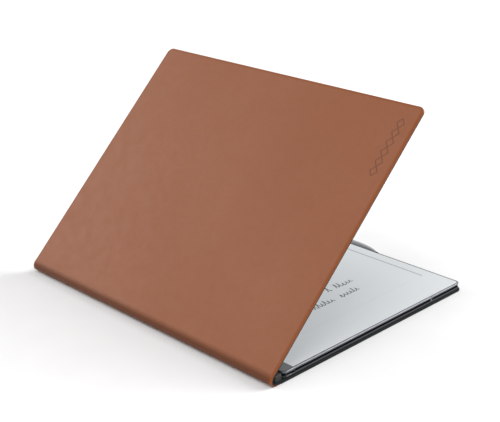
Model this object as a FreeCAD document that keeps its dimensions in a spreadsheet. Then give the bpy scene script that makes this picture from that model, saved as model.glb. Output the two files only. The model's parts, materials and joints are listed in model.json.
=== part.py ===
import FreeCAD, Part
import collections
import math
import os
import Sketcher

# An e-paper writing tablet held by magnets in a leather book folio, with its stylus on the long edge.
# The folio lies on its back cover, its spine stands up, and its front cover stands open over the screen.
#
# Frame: origin at the middle of the folio's footprint, on the surface that it lies on.
# +X runs from the spine to the free edge, +Y to the top of the page, +Z up. Millimetres.
# Distances called "across" are measured in +X from the spine's outer face.

DRIVING = {
    # leather folio
    "folio_width": 199.5,
    "folio_height": 248.2,
    "leather_thickness": 0.5,
    "back_board_thickness": 0.6,
    "lining_thickness": 0.3,
    "lining_inset": 0.3,
    "folio_corner_radius": 4.8,
    "back_cover_start": 3.5,
    "spine_thickness": 2.2,
    "spine_lining_thickness": 0.5,
    "spine_skin_thickness": 0.6,
    "low_fold": 1.6,
    "high_fold_across": 1.1,
    "high_fold_height": 7.4,
    "spine_board_low": 3.3,
    "spine_board_high": 5.9,
    "spine_board_inset": 0.3,
    # front cover, laid out flat and shut from its fold
    "cover_open_angle": 44.9,
    "cover_thickness": 2.0,
    "cover_length": 198.8,
    "cover_start": 1.5,
    "cover_lining_thickness": 0.6,
    "cover_skin_thickness": 0.6,
    "cover_wrap": 1.1,
    "cover_edge_radius": 0.9,
    "cover_lining_edge_radius": 0.35,
    # bar between the spine and the tablet
    "bar_start": 3.6,
    "bar_width": 6.7,
    "bar_height": 4.6,
    "bar_edge_radius": 1.2,
    "bar_top_radius": 1.1,
    "bar_end_gap": 1.3,
    "bar_wall": 1.6,
    "bar_magnet_first": 12.0,
    "bar_magnet_pitch": 60.0,
    "bar_magnet_length": 42.0,
    # tablet outside
    "tablet_start": 11.2,
    "tablet_width": 187.6,
    "tablet_height": 246.0,
    "tablet_thickness": 4.5,
    "tablet_lift": 0.15,
    "feet_thickness": 0.37,
    "feet_proud": 0.12,
    "tablet_corner_radius": 3.8,
    "inner_corner_radius": 0.6,
    "rim_width": 1.0,
    "rim_depth": 1.25,
    "rim_chamfer": 0.25,
    "groove_height": 2.1,
    "groove_inset": 0.5,
    "wall_thickness": 0.9,
    "frame_inset": 2.6,
    "rear_plate_thickness": 0.6,
    "rear_chamfer": 0.45,
    "rear_adhesive_thickness": 0.1,
    "band_width": 8.9,
    "band_thickness": 0.6,
    "seam": 0.08,
    "antenna_break_across": 151.8,
    "antenna_break_up": 35.0,
    "antenna_break_width": 1.3,
    # screen stack
    "glass_thickness": 0.5,
    "adhesive_thickness": 0.1,
    "panel_thickness": 0.5,
    "digitizer_thickness": 0.3,
    "plate_thickness": 0.2,
    "stack_gap": 0.05,
    "display_flex_across": 12.0,
    "display_flex_width": 16.0,
    "display_flex_up": 13.5,
    "digitizer_flex_across": 30.0,
    "digitizer_flex_width": 6.0,
    "digitizer_flex_up": 14.6,
    "flex_landing": 5.0,
    "flex_thickness": 0.12,
    # electronics
    "board_thickness": 0.7,
    "can_height": 1.2,
    "can_wall": 0.15,
    "chip_height": 0.9,
    "battery_thickness": 2.0,
    "magnet_thickness": 1.9,
    "hold_magnet_first": 99.0,
    "hold_magnet_pitch": 65.0,
    "hold_magnet_length": 30.0,
    "hold_magnet_width": 2.3,
    "hold_magnet_gap": 0.1,
    "screw_head_radius": 1.3,
    "screw_head_height": 0.5,
    "screw_radius": 0.7,
    "screw_depth": 0.4,
    "screw_inset": 3.0,
    "screw_first": 20.0,
    "screw_last": 143.0,
    "hole_gap": 0.05,
    "contact_across": 6.0,
    "contact_radius": 0.9,
    "contact_pitch": 4.0,
    "switch_height": 1.2,
    "antenna_thickness": 0.3,
    "antenna_cable_radius": 0.45,
    "antenna_cable_up": 9.5,
    "antenna_cable_overlap": 4.0,
    # charging socket
    "port_start": 13.4,
    "port_width": 8.4,
    "port_height": 2.4,
    "port_level": 3.6,
    "port_length": 7.4,
    "port_wall": 0.2,
    "port_round": 0.8,
    "port_setback": 1.7,
    "port_clearance": 0.2,
    "port_back_wall": 1.0,
    "tongue_setback": 1.4,
    "tongue_inset": 0.9,
    "tongue_height": 0.7,
    # power button, on the top edge
    "button_start": 25.0,
    "button_width": 12.0,
    "button_height": 1.46,
    "button_gap": 0.12,
    "button_proud": 0.3,
    "button_depth": 2.0,
    "button_round": 0.5,
    # stylus
    "marker_gap": 0.1,
    "marker_radius": 3.5,
    "marker_level": 3.7,
    "marker_tip": 80.0,
    "marker_length": 137.0,
    "marker_nose_start": 2.3,
    "marker_nose_end": 22.0,
    "marker_nose_reach": 20.3,
    "marker_wall": 0.65,
    "marker_cap_length": 4.0,
    "marker_cap_round": 1.4,
    "marker_plug_length": 4.0,
    "marker_plug_gap": 0.05,
    "nose_hollow_start": 11.0,
    "nose_hollow_radius": 1.95,
    "ferrite_start": 11.5,
    "ferrite_length": 10.0,
    "ferrite_radius": 1.35,
    "ferrite_bore": 0.95,
    "coil_start": 12.0,
    "coil_length": 9.0,
    "coil_radius": 1.9,
    "coil_bore": 1.4,
    "holder_start": 22.4,
    "holder_length": 5.6,
    "holder_radius": 1.5,
    "sensor_start": 28.4,
    "sensor_length": 3.0,
    "sensor_radius": 2.0,
    "carrier_end": 125.0,
    "carrier_left": 1.0,
    "carrier_right": 2.2,
    "carrier_thickness": 0.8,
    "pen_board_start": 33.0,
    "pen_board_end": 95.0,
    "pen_board_thickness": 0.5,
    "pen_board_inset": 0.1,
    "pen_magnet_far": 2.4,
    "pen_magnet_near": 1.2,
    "pen_magnet_half_height": 1.0,
    "pen_magnet_start": 13.0,
    "nib_radius": 0.8,
    "nib_gap": 0.06,
    "nib_length": 24.0,
    "nib_travel": 0.3,
}

# Rectangles seen from above: start and near edge, measured from the tablet's spine-side near corner,
# then width and height. Each number is a cell of the sheet.
LAYOUT = {
    "panel": (9.4, 21.5, 175.0, 219.0),
    "digitizer": (9.6, 19.5, 174.4, 221.0),
    "plate": (4.0, 16.0, 180.6, 224.0),
    "main_board": (3.2, 11.0, 36.0, 163.0),
    "processor_can": (12.0, 70.0, 22.0, 22.0),
    "processor_chip": (15.0, 73.0, 14.0, 14.0),
    "radio_can": (12.0, 30.0, 18.0, 14.0),
    "memory_chip": (13.0, 100.0, 11.0, 13.0),
    "thermal_pad": (13.0, 71.0, 20.0, 20.0),
    "battery_board": (48.0, 161.0, 124.0, 6.0),
    "battery_cable": (34.0, 162.0, 18.0, 4.0),
    "power_switch": (16.0, 241.2, 7.6, 2.0),
    "power_flex": (17.8, 168.0, 4.0, 75.2),
    "wifi_antenna": (156.0, 3.6, 26.0, 7.0),
    "cover_magnet": (150.0, 100.0, 6.0, 40.0),
}
# Repeated rectangles: the start and near edge of each, then the width and height that they share.
REPEATED = {
    "battery_cell": (((48.0, 59.0), (112.0, 59.0)), (60.0, 101.0)),
    "battery_tape": (((58.0, 69.0), (88.0, 69.0), (122.0, 69.0), (152.0, 69.0)), (10.0, 80.0)),
    "folio_magnet": (((4.0, 178.0), (176.0, 14.0), (176.0, 180.0)), (5.0, 50.0)),
    "foot": (((14.0, 14.0), (166.0, 14.0), (14.0, 226.0), (166.0, 226.0)), (8.0, 6.0)),
}
for piece, (starts, shared) in REPEATED.items():
    for number, start in enumerate(starts):
        LAYOUT[f"{piece}_{number}"] = start + shared
BAR_MAGNET_COUNT = 4
HOLD_MAGNET_COUNT = 2
CONTACT_COUNT = 5


class Size:
    """A length that carries both its value and the sheet formula that it is bound by."""

    def __init__(self, value, text=None):
        self.value = value.value if isinstance(value, Size) else float(value)
        self.text = text or (value.text if isinstance(value, Size) else repr(float(value)))

    def combine(self, other, sign, value):
        return Size(value, f"({self.text} {sign} {Size(other).text})")

    def __add__(self, other):
        return self.combine(other, "+", self.value + Size(other).value)

    def __sub__(self, other):
        return self.combine(other, "-", self.value - Size(other).value)

    def __mul__(self, factor):
        return self.combine(factor, "*", self.value * factor)


Plan = collections.namedtuple("Plan", "x0 x1 y0 y1")
Span = collections.namedtuple("Span", "low high")

doc = FreeCAD.newDocument("writing_tablet_in_folio")
sheet = doc.addObject("Spreadsheet::Sheet", "sizes")
cells = dict(DRIVING)
for piece, numbers in LAYOUT.items():
    for side, number in zip(("across", "up", "width", "height"), numbers):
        cells[f"{piece}_{side}"] = number
for row, (alias, number) in enumerate(cells.items(), start=1):
    sheet.set(f"A{row}", alias)
    sheet.set(f"B{row}", str(number))
    sheet.setAlias(f"B{row}", alias)
doc.recompute()


def cell(alias):
    """A driving dimension, read back from the sheet."""
    return Size(sheet.get(alias), f"sizes.{alias}")


def bind(thing, path, size):
    thing.setExpression(path, Size(size).text)


def shrink(plan, by):
    """A plan pulled in by the same distance on all four sides."""
    return Plan(plan.x0 + by, plan.x1 - by, plan.y0 + by, plan.y1 - by)


def place(thing, x, y, z):
    for axis, position in zip("xyz", (x, y, z)):
        bind(thing, f"Placement.Base.{axis}", position)


# ---------------------------------------------------------------- features

OVERCUT = 1.0  # how far a cutting shape runs past the material
CLOSE = 1e-4  # two lengths nearer than this are the same
ALL_CORNERS = (0, 1, 2, 3)
FREE_CORNERS = (1, 2)
NO_CORNERS = ()


def outline(body, plan, level, radius, corners):
    """A closed rectangle on the body's XY plane, at a level.

    The corners count anticlockwise from the near left one, and those named are rounded.
    """
    sketch = body.newObject("Sketcher::SketchObject", "Outline")
    plane = [part for part in body.Origin.OriginFeatures if part.Role == "XY_Plane"][0]
    sketch.AttachmentSupport = [(plane, "")]
    sketch.MapMode = "FlatFace"
    for axis, position in zip("xyz", (plan.x0, plan.y0, level)):
        bind(sketch, f"AttachmentOffset.Base.{axis}", position)
    width = plan.x1 - plan.x0
    height = plan.y1 - plan.y0
    w, d = width.value, height.value
    r = radius.value if corners else 0.0
    cut = [r if corner in corners else 0.0 for corner in ALL_CORNERS]
    ends = (
        ((cut[0], 0), (w - cut[1], 0)),
        ((w, cut[1]), (w, d - cut[2])),
        ((w - cut[2], d), (cut[3], d)),
        ((0, d - cut[3]), (0, cut[0])),
    )
    for start, end in ends:
        sketch.addGeometry(Part.LineSegment(FreeCAD.Vector(*start, 0), FreeCAD.Vector(*end, 0)))
    middles = ((r, r), (w - r, r), (w - r, d - r), (r, d - r))
    arcs = {}
    for corner in corners:
        circle = Part.Circle(FreeCAD.Vector(*middles[corner], 0), FreeCAD.Vector(0, 0, 1), r)
        turn = (corner - 2) * math.pi / 2
        arcs[corner] = sketch.addGeometry(Part.ArcOfCircle(circle, turn, turn + math.pi / 2))
    for corner in ALL_CORNERS:
        before, after = (corner - 1) % 4, corner
        if corner in arcs:
            sketch.addConstraint(Sketcher.Constraint("Tangent", before, 2, arcs[corner], 1))
            sketch.addConstraint(Sketcher.Constraint("Tangent", arcs[corner], 2, after, 1))
        else:
            sketch.addConstraint(Sketcher.Constraint("Coincident", before, 2, after, 1))
    for line in (0, 2):
        sketch.addConstraint(Sketcher.Constraint("Horizontal", line))
    for line in (1, 3):
        sketch.addConstraint(Sketcher.Constraint("Vertical", line))
    sketch.addConstraint(Sketcher.Constraint("PointOnObject", 0, 1, -1))
    sketch.addConstraint(Sketcher.Constraint("PointOnObject", 3, 1, -2))
    numbered = list(arcs.values())
    for arc in numbered[1:]:
        sketch.addConstraint(Sketcher.Constraint("Equal", numbered[0], arc))
    named = [("width", Sketcher.Constraint("DistanceX", 3, 1, 1, 1, w), width)]
    named.append(("height", Sketcher.Constraint("DistanceY", 0, 1, 2, 1, d), height))
    if arcs:
        named.append(("corner", Sketcher.Constraint("Radius", numbered[0], r), radius))
    for name, constraint, size in named:
        sketch.renameConstraint(sketch.addConstraint(constraint), name)
        bind(sketch, f"Constraints.{name}", size)
    return sketch


def new_body(label):
    body = doc.addObject("PartDesign::Body", label)
    body.Label = label
    return body


def pad(body, plan, span, radius=None, corners=ALL_CORNERS):
    """Add a slab of material to a body."""
    feature = body.newObject("PartDesign::Pad", "Pad")
    feature.Profile = outline(body, plan, span.low, radius, corners if radius else NO_CORNERS)
    bind(feature, "Length", span.high - span.low)
    body.Tip = feature
    return body


def pocket(body, plan, span, radius=None, corners=ALL_CORNERS):
    """Cut a slab of material out of a body, downwards from the top of the span."""
    doc.recompute()
    before = body.Shape.Volume
    feature = body.newObject("PartDesign::Pocket", "Pocket")
    feature.Profile = outline(body, plan, span.high, radius, corners if radius else NO_CORNERS)
    bind(feature, "Length", span.high - span.low)
    body.Tip = feature
    doc.recompute()
    if body.Shape.Volume >= before:
        raise ValueError(f"{body.Label}: a pocket cut nothing")
    return body


def dress(body, kind, prop, size, chosen):
    """Round or chamfer the chosen edges of a body."""
    doc.recompute()
    base = body.Tip
    names = [f"Edge{n}" for n, edge in enumerate(base.Shape.Edges, start=1) if chosen(edge)]
    feature = body.newObject(f"PartDesign::{kind}", kind)
    feature.Base = (base, names)
    bind(feature, prop, size)
    body.Tip = feature
    return body


def lies_at(level, but_not_x=None):
    """Chooses the edges that lie flat at a level, except those along one X."""

    def chosen(edge):
        box = edge.BoundBox
        flat = abs(box.ZMin - level) < CLOSE and abs(box.ZMax - level) < CLOSE
        if but_not_x is not None and max(abs(box.XMin - but_not_x), abs(box.XMax - but_not_x)) < CLOSE:
            return False
        return flat

    return chosen


def slab(label, plan, span, radius=None, corners=ALL_CORNERS):
    return pad(new_body(label), plan, span, radius, corners)


def block(label, plan, span):
    thing = doc.addObject("Part::Box", label)
    thing.Label = label
    bind(thing, "Length", plan.x1 - plan.x0)
    bind(thing, "Width", plan.y1 - plan.y0)
    bind(thing, "Height", span.high - span.low)
    place(thing, plan.x0, plan.y0, span.low)
    return thing


TURNS = {
    "z": FreeCAD.Rotation(),
    "y": FreeCAD.Rotation(FreeCAD.Vector(1, 0, 0), -90),
    "x": FreeCAD.Rotation(FreeCAD.Vector(0, 1, 0), 90),
}


def rod(label, along, x, y, z, radius, length):
    """A round bar that starts at a point and runs along one axis."""
    thing = doc.addObject("Part::Cylinder", label)
    thing.Label = label
    bind(thing, "Radius", radius)
    bind(thing, "Height", length)
    thing.Placement = FreeCAD.Placement(FreeCAD.Vector(), TURNS[along])
    place(thing, x, y, z)
    return thing


def cut(label, base, tool):
    thing = doc.addObject("Part::Cut", label)
    thing.Label = label
    thing.Base = base
    thing.Tool = tool
    return thing


def join(label, things):
    thing = doc.addObject("Part::MultiFuse", label)
    thing.Label = label
    thing.Shapes = things
    return thing


def group(label, things):
    """Several separate solids of one kind, under one name."""
    thing = doc.addObject("Part::Compound", label)
    thing.Label = label
    thing.Links = things
    return thing


def tube(label, along, x, y, z, radius, bore, length):
    outer = rod(label + "_outer", along, x, y, z, radius, length)
    inner = rod(label + "_bore", along, x, y, z, bore, length)
    return cut(label, outer, inner)


# ---------------------------------------------------------------- shared places

ZERO = Size(0)
FACE_X = cell("folio_width") * -0.5
NEAR_Y = cell("folio_height") * -0.5


def across(distance):
    return FACE_X + distance


TABLE = ZERO
BOARD_BASE = cell("leather_thickness")
LINING_BASE = BOARD_BASE + cell("back_board_thickness")
LINING_TOP = LINING_BASE + cell("lining_thickness")
TABLET_BASE = LINING_TOP + cell("tablet_lift")
TABLET_TOP = TABLET_BASE + cell("tablet_thickness")
RIM_BASE = TABLET_TOP - cell("rim_depth")
GROOVE_BASE = RIM_BASE - cell("groove_height")
REAR_TOP = TABLET_BASE + cell("rear_plate_thickness")
GLASS_BASE = TABLET_TOP - cell("glass_thickness")
LEDGE = GLASS_BASE - cell("adhesive_thickness")
PANEL_BASE = LEDGE - cell("panel_thickness")
DIGITIZER_TOP = PANEL_BASE - cell("stack_gap")
DIGITIZER_BASE = DIGITIZER_TOP - cell("digitizer_thickness")
PLATE_TOP = DIGITIZER_BASE - cell("stack_gap")
PLATE_BASE = PLATE_TOP - cell("plate_thickness")
INNER_BASE = REAR_TOP + cell("stack_gap")
BOARD_TOP = INNER_BASE + cell("board_thickness")

TABLET_X = across(cell("tablet_start"))
TABLET_Y = cell("tablet_height") * -0.5
TABLET = Plan(TABLET_X, TABLET_X + cell("tablet_width"), TABLET_Y, TABLET_Y + cell("tablet_height"))
FOLIO = Plan(across(cell("back_cover_start")), FACE_X + cell("folio_width"), NEAR_Y, NEAR_Y * -1)


def on_tablet(across_by, up_by, width, height):
    """A plan placed from the tablet's spine-side near corner."""
    x0 = TABLET.x0 + across_by
    y0 = TABLET.y0 + up_by
    return Plan(x0, x0 + width, y0, y0 + height)


def laid_out(name):
    return on_tablet(*[cell(f"{name}_{side}") for side in ("across", "up", "width", "height")])


def repeated(name):
    """The plans of a repeated piece, each with its number."""
    return [(number, laid_out(f"{name}_{number}")) for number in range(len(REPEATED[name][0]))]


def corner_inside(by):
    return cell("tablet_corner_radius") - by


# ---------------------------------------------------------------- folio


def make_back_cover():
    corner = cell("folio_corner_radius")
    slab("back_cover_leather", FOLIO, Span(TABLE, BOARD_BASE), corner, FREE_CORNERS)
    board = slab("back_cover_board", FOLIO, Span(BOARD_BASE, LINING_BASE), corner, FREE_CORNERS)
    magnets = []
    for number, plan in repeated("folio_magnet"):
        pocket(board, shrink(plan, cell("stack_gap") * -1), Span(BOARD_BASE, LINING_BASE))
        magnets.append(block(f"cover_magnet_{number}", plan, Span(BOARD_BASE, LINING_BASE)))
    group("back_cover_magnets", magnets)
    inset = cell("lining_inset")
    lining = Plan(FOLIO.x0, FOLIO.x1 - inset, FOLIO.y0 + inset, FOLIO.y1 - inset)
    slab("back_cover_lining", lining, Span(LINING_BASE, LINING_TOP), corner - inset, FREE_CORNERS)


def make_spine_bar():
    gap = cell("bar_end_gap")
    start = across(cell("bar_start"))
    plan = Plan(start, start + cell("bar_width"), FOLIO.y0 + gap, FOLIO.y1 - gap)
    top = LINING_TOP + cell("bar_height")
    bar = slab("spine_bar", plan, Span(LINING_TOP, top), cell("bar_edge_radius"))
    dress(bar, "Fillet", "Radius", cell("bar_top_radius"), lies_at(top.value))
    wall = cell("bar_wall")
    magnets = []
    roof = top - wall
    for number in range(BAR_MAGNET_COUNT):
        start_y = plan.y0 + cell("bar_magnet_first") + cell("bar_magnet_pitch") * number
        hole = Plan(plan.x0 + wall, plan.x1 - wall, start_y, start_y + cell("bar_magnet_length"))
        pocket(bar, hole, Span(LINING_TOP, roof))
        fit = shrink(hole, cell("stack_gap"))
        magnets.append(block(f"bar_magnet_{number}", fit, Span(LINING_TOP, roof - cell("stack_gap"))))
    group("spine_bar_magnets", magnets)


def make_spine():
    """An upright wall whose skin ends in a round roll on each of its two fold lines."""
    skin = Plan(FACE_X, FACE_X + cell("spine_skin_thickness"), FOLIO.y0, FOLIO.y1)
    low, high = cell("low_fold"), cell("high_fold_height")
    wall = block("spine_skin", skin, Span(low, high))
    length = FOLIO.y1 - FOLIO.y0
    low_roll = rod("low_fold_roll", "y", across(low), FOLIO.y0, low, low, length)
    reach = cell("high_fold_across")
    high_roll = rod("high_fold_roll", "y", across(reach), FOLIO.y0, high, reach, length)
    join("spine_leather", [wall, low_roll, high_roll])
    inner = across(cell("spine_thickness"))
    lining = inner - cell("spine_lining_thickness")
    span = Span(cell("spine_board_low"), cell("spine_board_high"))
    near, far = FOLIO.y0 + cell("spine_board_inset"), FOLIO.y1 - cell("spine_board_inset")
    block("spine_board", Plan(skin.x1, lining, near, far), span)
    block("spine_lining", Plan(lining, inner, near, far), span)


def open_cover(body):
    """Swing a piece that was laid out shut from the fold line up to the open angle."""
    turn = FreeCAD.Rotation(FreeCAD.Vector(0, -1, 0), cell("cover_open_angle").value)
    body.Placement = FreeCAD.Placement(FreeCAD.Vector(), turn)
    place(body, across(cell("high_fold_across")), ZERO, cell("high_fold_height"))


def make_front_cover():
    half = cell("cover_thickness") * 0.5
    inside, outside = half * -1, half
    plan = Plan(cell("cover_start"), cell("cover_length"), FOLIO.y0, FOLIO.y1)
    corner = cell("folio_corner_radius")
    lining_top = inside + cell("cover_lining_thickness")
    skin_base = outside - cell("cover_skin_thickness")
    leather = slab("front_cover_leather", plan, Span(lining_top, outside), corner, FREE_CORNERS)
    dress(leather, "Fillet", "Radius", cell("cover_edge_radius"), lies_at(outside.value, plan.x0.value))
    wrap = cell("cover_wrap")
    core = Plan(plan.x0, plan.x1 - wrap, plan.y0 + wrap, plan.y1 - wrap)
    hollow = Plan(core.x0 - OVERCUT, core.x1, core.y0, core.y1)
    pocket(leather, hollow, Span(lining_top - OVERCUT, skin_base), corner - wrap, FREE_CORNERS)
    board = slab("front_cover_board", core, Span(lining_top, skin_base), corner - wrap, FREE_CORNERS)
    magnet = laid_out("cover_magnet")
    magnet = Plan(magnet.x0 - FACE_X, magnet.x1 - FACE_X, magnet.y0, magnet.y1)
    pocket(board, shrink(magnet, cell("stack_gap") * -1), Span(lining_top, skin_base))
    plate = slab("front_cover_magnet", magnet, Span(lining_top, skin_base))
    inset = cell("lining_inset")
    lined = Plan(plan.x0, plan.x1 - inset, plan.y0 + inset, plan.y1 - inset)
    lining = slab("front_cover_lining", lined, Span(inside, lining_top), corner - inset, FREE_CORNERS)
    edges = lies_at(inside.value, plan.x0.value)
    dress(lining, "Fillet", "Radius", cell("cover_lining_edge_radius"), edges)
    for body in (leather, board, plate, lining):
        open_cover(body)


# ---------------------------------------------------------------- tablet shell


def port_plan(low_y, high_y, spread=0.0):
    spread = Size(spread)
    start = across(cell("port_start") - spread)
    return Plan(start, start + cell("port_width") + spread * 2, low_y, high_y)


def port_span():
    half = cell("port_height") * 0.5
    return Span(cell("port_level") - half, cell("port_level") + half)


def button_plan(low_y, high_y, spread):
    start = across(cell("button_start") - spread)
    return Plan(start, start + cell("button_width") + spread * 2, low_y, high_y)


def make_rear_cover():
    wall = cell("wall_thickness")
    shell = slab("rear_shell", TABLET, Span(TABLET_BASE, GROOVE_BASE), cell("tablet_corner_radius"))
    pocket(shell, shrink(TABLET, wall), Span(REAR_TOP, GROOVE_BASE), corner_inside(wall))
    notch = port_plan(TABLET.y0 - OVERCUT, TABLET.y0 + wall + OVERCUT)
    pocket(shell, notch, Span(port_span().low, GROOVE_BASE))
    feet = []
    foot_base = TABLET_BASE - cell("feet_proud")
    foot_span = Span(foot_base, foot_base + cell("feet_thickness"))
    for number, plan in repeated("foot"):
        pocket(shell, plan, Span(TABLET_BASE - OVERCUT, foot_span.high), cell("inner_corner_radius"))
        feet.append(slab(f"rear_foot_{number}", plan, foot_span, cell("inner_corner_radius")))
    group("rear_feet", feet)
    dress(shell, "Chamfer", "Size", cell("rear_chamfer"), outline_at(TABLET_BASE.value, TABLET))
    gap = cell("hole_gap")
    tools = contact_rods("contact_hole", cell("contact_radius") + gap) + screw_rods("screw_hole", gap)
    cut("rear_cover", shell, join("rear_holes", tools))
    group("accessory_contacts", contact_rods("contact", cell("contact_radius")))


def outline_at(level, plan):
    """Chooses the outer edges of a slab at a level: those that reach its plan's outline."""
    inner = shrink(plan, cell("tablet_corner_radius") + CLOSE)

    def chosen(edge):
        box = edge.BoundBox
        flat = abs(box.ZMin - level) < CLOSE and abs(box.ZMax - level) < CLOSE
        outside_x = box.XMin < inner.x0.value or box.XMax > inner.x1.value
        outside_y = box.YMin < inner.y0.value or box.YMax > inner.y1.value
        return flat and (outside_x or outside_y)

    return chosen


def contact_rods(label, radius):
    x = TABLET.x0 + cell("contact_across")
    length = cell("rear_plate_thickness")
    rods = []
    for number in range(CONTACT_COUNT):
        y = cell("contact_pitch") * (number - (CONTACT_COUNT - 1) / 2)
        rods.append(rod(f"{label}_{number}", "z", x, y, TABLET_BASE, radius, length))
    return rods


def screw_places():
    board = laid_out("main_board")
    inset = cell("screw_inset")
    columns = (board.x0 + inset, board.x1 - inset)
    rows = (board.y0 + cell("screw_first"), board.y0 + cell("screw_last"))
    return [(x, y) for y in rows for x in columns]


def screw_rods(label, spread):
    base = REAR_TOP - cell("screw_depth")
    radius = cell("screw_radius") + spread
    rods = []
    for number, (x, y) in enumerate(screw_places()):
        rods.append(rod(f"{label}_{number}", "z", x, y, base, radius, BOARD_TOP - base))
    return rods


def make_side_frame():
    """A bright rim round the screen on a wall that stands inside the rear cover and the groove band."""
    wall, inset = cell("wall_thickness"), cell("frame_inset")
    glue_top = REAR_TOP + cell("rear_adhesive_thickness")
    frame = slab("side_frame", shrink(TABLET, wall), Span(glue_top, LEDGE), corner_inside(wall))
    pad(frame, TABLET, Span(RIM_BASE, TABLET_TOP), cell("tablet_corner_radius"))
    dress(frame, "Chamfer", "Size", cell("rim_chamfer"), lies_at(TABLET_TOP.value))
    rim = cell("rim_width")
    pocket(frame, shrink(TABLET, rim), Span(LEDGE, TABLET_TOP + OVERCUT), corner_inside(rim))
    inside = shrink(TABLET, inset)
    pocket(frame, inside, Span(glue_top - OVERCUT, TABLET_TOP), cell("inner_corner_radius"))
    pocket(frame, port_plan(TABLET.y0 - OVERCUT, inside.y0 + OVERCUT), port_span())
    gap = cell("port_clearance")
    back = TABLET.y0 + cell("port_setback")
    housing = port_plan(back - gap, back + cell("port_length"), cell("port_wall") + gap)
    pocket(frame, housing, Span(glue_top - OVERCUT, LEDGE))
    slot = button_plan(inside.y1 - OVERCUT, TABLET.y1 + OVERCUT, cell("button_gap"))
    pocket(frame, slot, Span(GROOVE_BASE, RIM_BASE))
    for plan in antenna_break_plans():
        pocket(frame, plan, Span(RIM_BASE - OVERCUT, TABLET_TOP + OVERCUT))
    glue = Span(REAR_TOP, glue_top)
    ring = slab("rear_cover_adhesive", shrink(TABLET, wall), glue, corner_inside(wall))
    pocket(ring, inside, glue, cell("inner_corner_radius"))
    pocket(ring, housing, glue)


def antenna_break_plans():
    """Two narrow gaps through the rim, one in the near edge and one in the free edge."""
    reach = cell("rim_width")
    width = cell("antenna_break_width")
    near_x = TABLET.x0 + cell("antenna_break_across")
    near = Plan(near_x, near_x + width, TABLET.y0 - OVERCUT, TABLET.y0 + reach)
    free_y = TABLET.y0 + cell("antenna_break_up")
    free = Plan(TABLET.x1 - reach, TABLET.x1 + OVERCUT, free_y, free_y + width)
    return near, free


def make_frame_trim():
    wall, inset = cell("wall_thickness"), cell("groove_inset")
    span = Span(GROOVE_BASE, RIM_BASE)
    band = slab("groove_band", shrink(TABLET, inset), span, corner_inside(inset))
    pocket(band, shrink(TABLET, wall), span, corner_inside(wall))
    pocket(band, port_plan(TABLET.y0 - OVERCUT, TABLET.y0 + wall + OVERCUT), span)
    slot = button_plan(TABLET.y1 - wall - OVERCUT, TABLET.y1 + OVERCUT, cell("button_gap"))
    pocket(band, slot, span)
    near, free = antenna_break_plans()
    fills = []
    for depth, height in ((cell("rim_width"), Span(RIM_BASE, TABLET_TOP)), (inset, span)):
        near_plan = Plan(near.x0, near.x1, TABLET.y0, TABLET.y0 + depth)
        free_plan = Plan(TABLET.x1 - depth, TABLET.x1, free.y0, free.y1)
        fills.append([block("near_fill", near_plan, height), block("free_fill", free_plan, height)])
    breaks = [join(f"break_{number}", list(pair)) for number, pair in enumerate(zip(*fills))]
    group("antenna_breaks", breaks)
    rim = shrink(TABLET, cell("rim_width") + cell("seam"))
    band_end = rim.x0 + cell("band_width")
    top_strip = Plan(rim.x0, band_end, rim.y0, rim.y1)
    slab("left_band", top_strip, Span(LEDGE, TABLET_TOP), corner_inside(cell("rim_width")), (0, 3))
    glass = Plan(band_end + cell("seam"), rim.x1, rim.y0, rim.y1)
    corner = corner_inside(cell("rim_width"))
    slab("cover_glass", glass, Span(GLASS_BASE, TABLET_TOP), corner, FREE_CORNERS)
    slab("glass_adhesive", glass, Span(LEDGE, GLASS_BASE), corner, FREE_CORNERS)


def make_screen_stack():
    corner = cell("inner_corner_radius")
    slab("epaper_panel", laid_out("panel"), Span(PANEL_BASE, LEDGE), corner)
    slab("digitizer_board", laid_out("digitizer"), Span(DIGITIZER_BASE, DIGITIZER_TOP), corner)
    slab("support_plate", laid_out("plate"), Span(PLATE_BASE, PLATE_TOP), corner)


# ---------------------------------------------------------------- tablet inside


def make_battery():
    span = Span(INNER_BASE, INNER_BASE + cell("battery_thickness"))
    corner = cell("tablet_corner_radius")
    group("battery_cells", [slab(f"cell_{n}", plan, span, corner) for n, plan in repeated("battery_cell")])
    strips = [block(f"tape_{n}", plan, Span(REAR_TOP, INNER_BASE)) for n, plan in repeated("battery_tape")]
    group("battery_tape", strips)
    slab("battery_board", laid_out("battery_board"), Span(INNER_BASE, BOARD_TOP))
    slab("battery_cable", laid_out("battery_cable"), Span(BOARD_TOP, BOARD_TOP + cell("flex_thickness")))


def make_boards():
    corner = cell("inner_corner_radius")
    board = slab("board_blank", laid_out("main_board"), Span(INNER_BASE, BOARD_TOP), corner)
    cut("main_board", board, join("board_holes", screw_rods("board_hole", cell("hole_gap"))))
    radius, height = cell("screw_head_radius"), cell("screw_head_height")
    screws = []
    for number, shank in enumerate(screw_rods("screw_shank", ZERO)):
        x, y = screw_places()[number]
        head = rod(f"screw_head_{number}", "z", x, y, BOARD_TOP, radius, height)
        screws.append(join(f"screw_{number}", [head, shank]))
    group("board_screws", screws)
    can_wall = cell("can_wall")
    can_span = Span(BOARD_TOP, BOARD_TOP + cell("can_height"))
    for name, layout in (("shield_can_processor", "processor_can"), ("shield_can_radio", "radio_can")):
        plan = laid_out(layout)
        can = slab(name, plan, can_span, corner)
        hollow = Span(BOARD_TOP - OVERCUT, can_span.high - can_wall)
        pocket(can, shrink(plan, can_wall), hollow, corner)
    chip = Span(BOARD_TOP, BOARD_TOP + cell("chip_height"))
    slab("processor_chip", laid_out("processor_chip"), chip)
    slab("memory_chip", laid_out("memory_chip"), chip)
    slab("thermal_pad", laid_out("thermal_pad"), Span(can_span.high, PLATE_BASE), corner)


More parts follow.
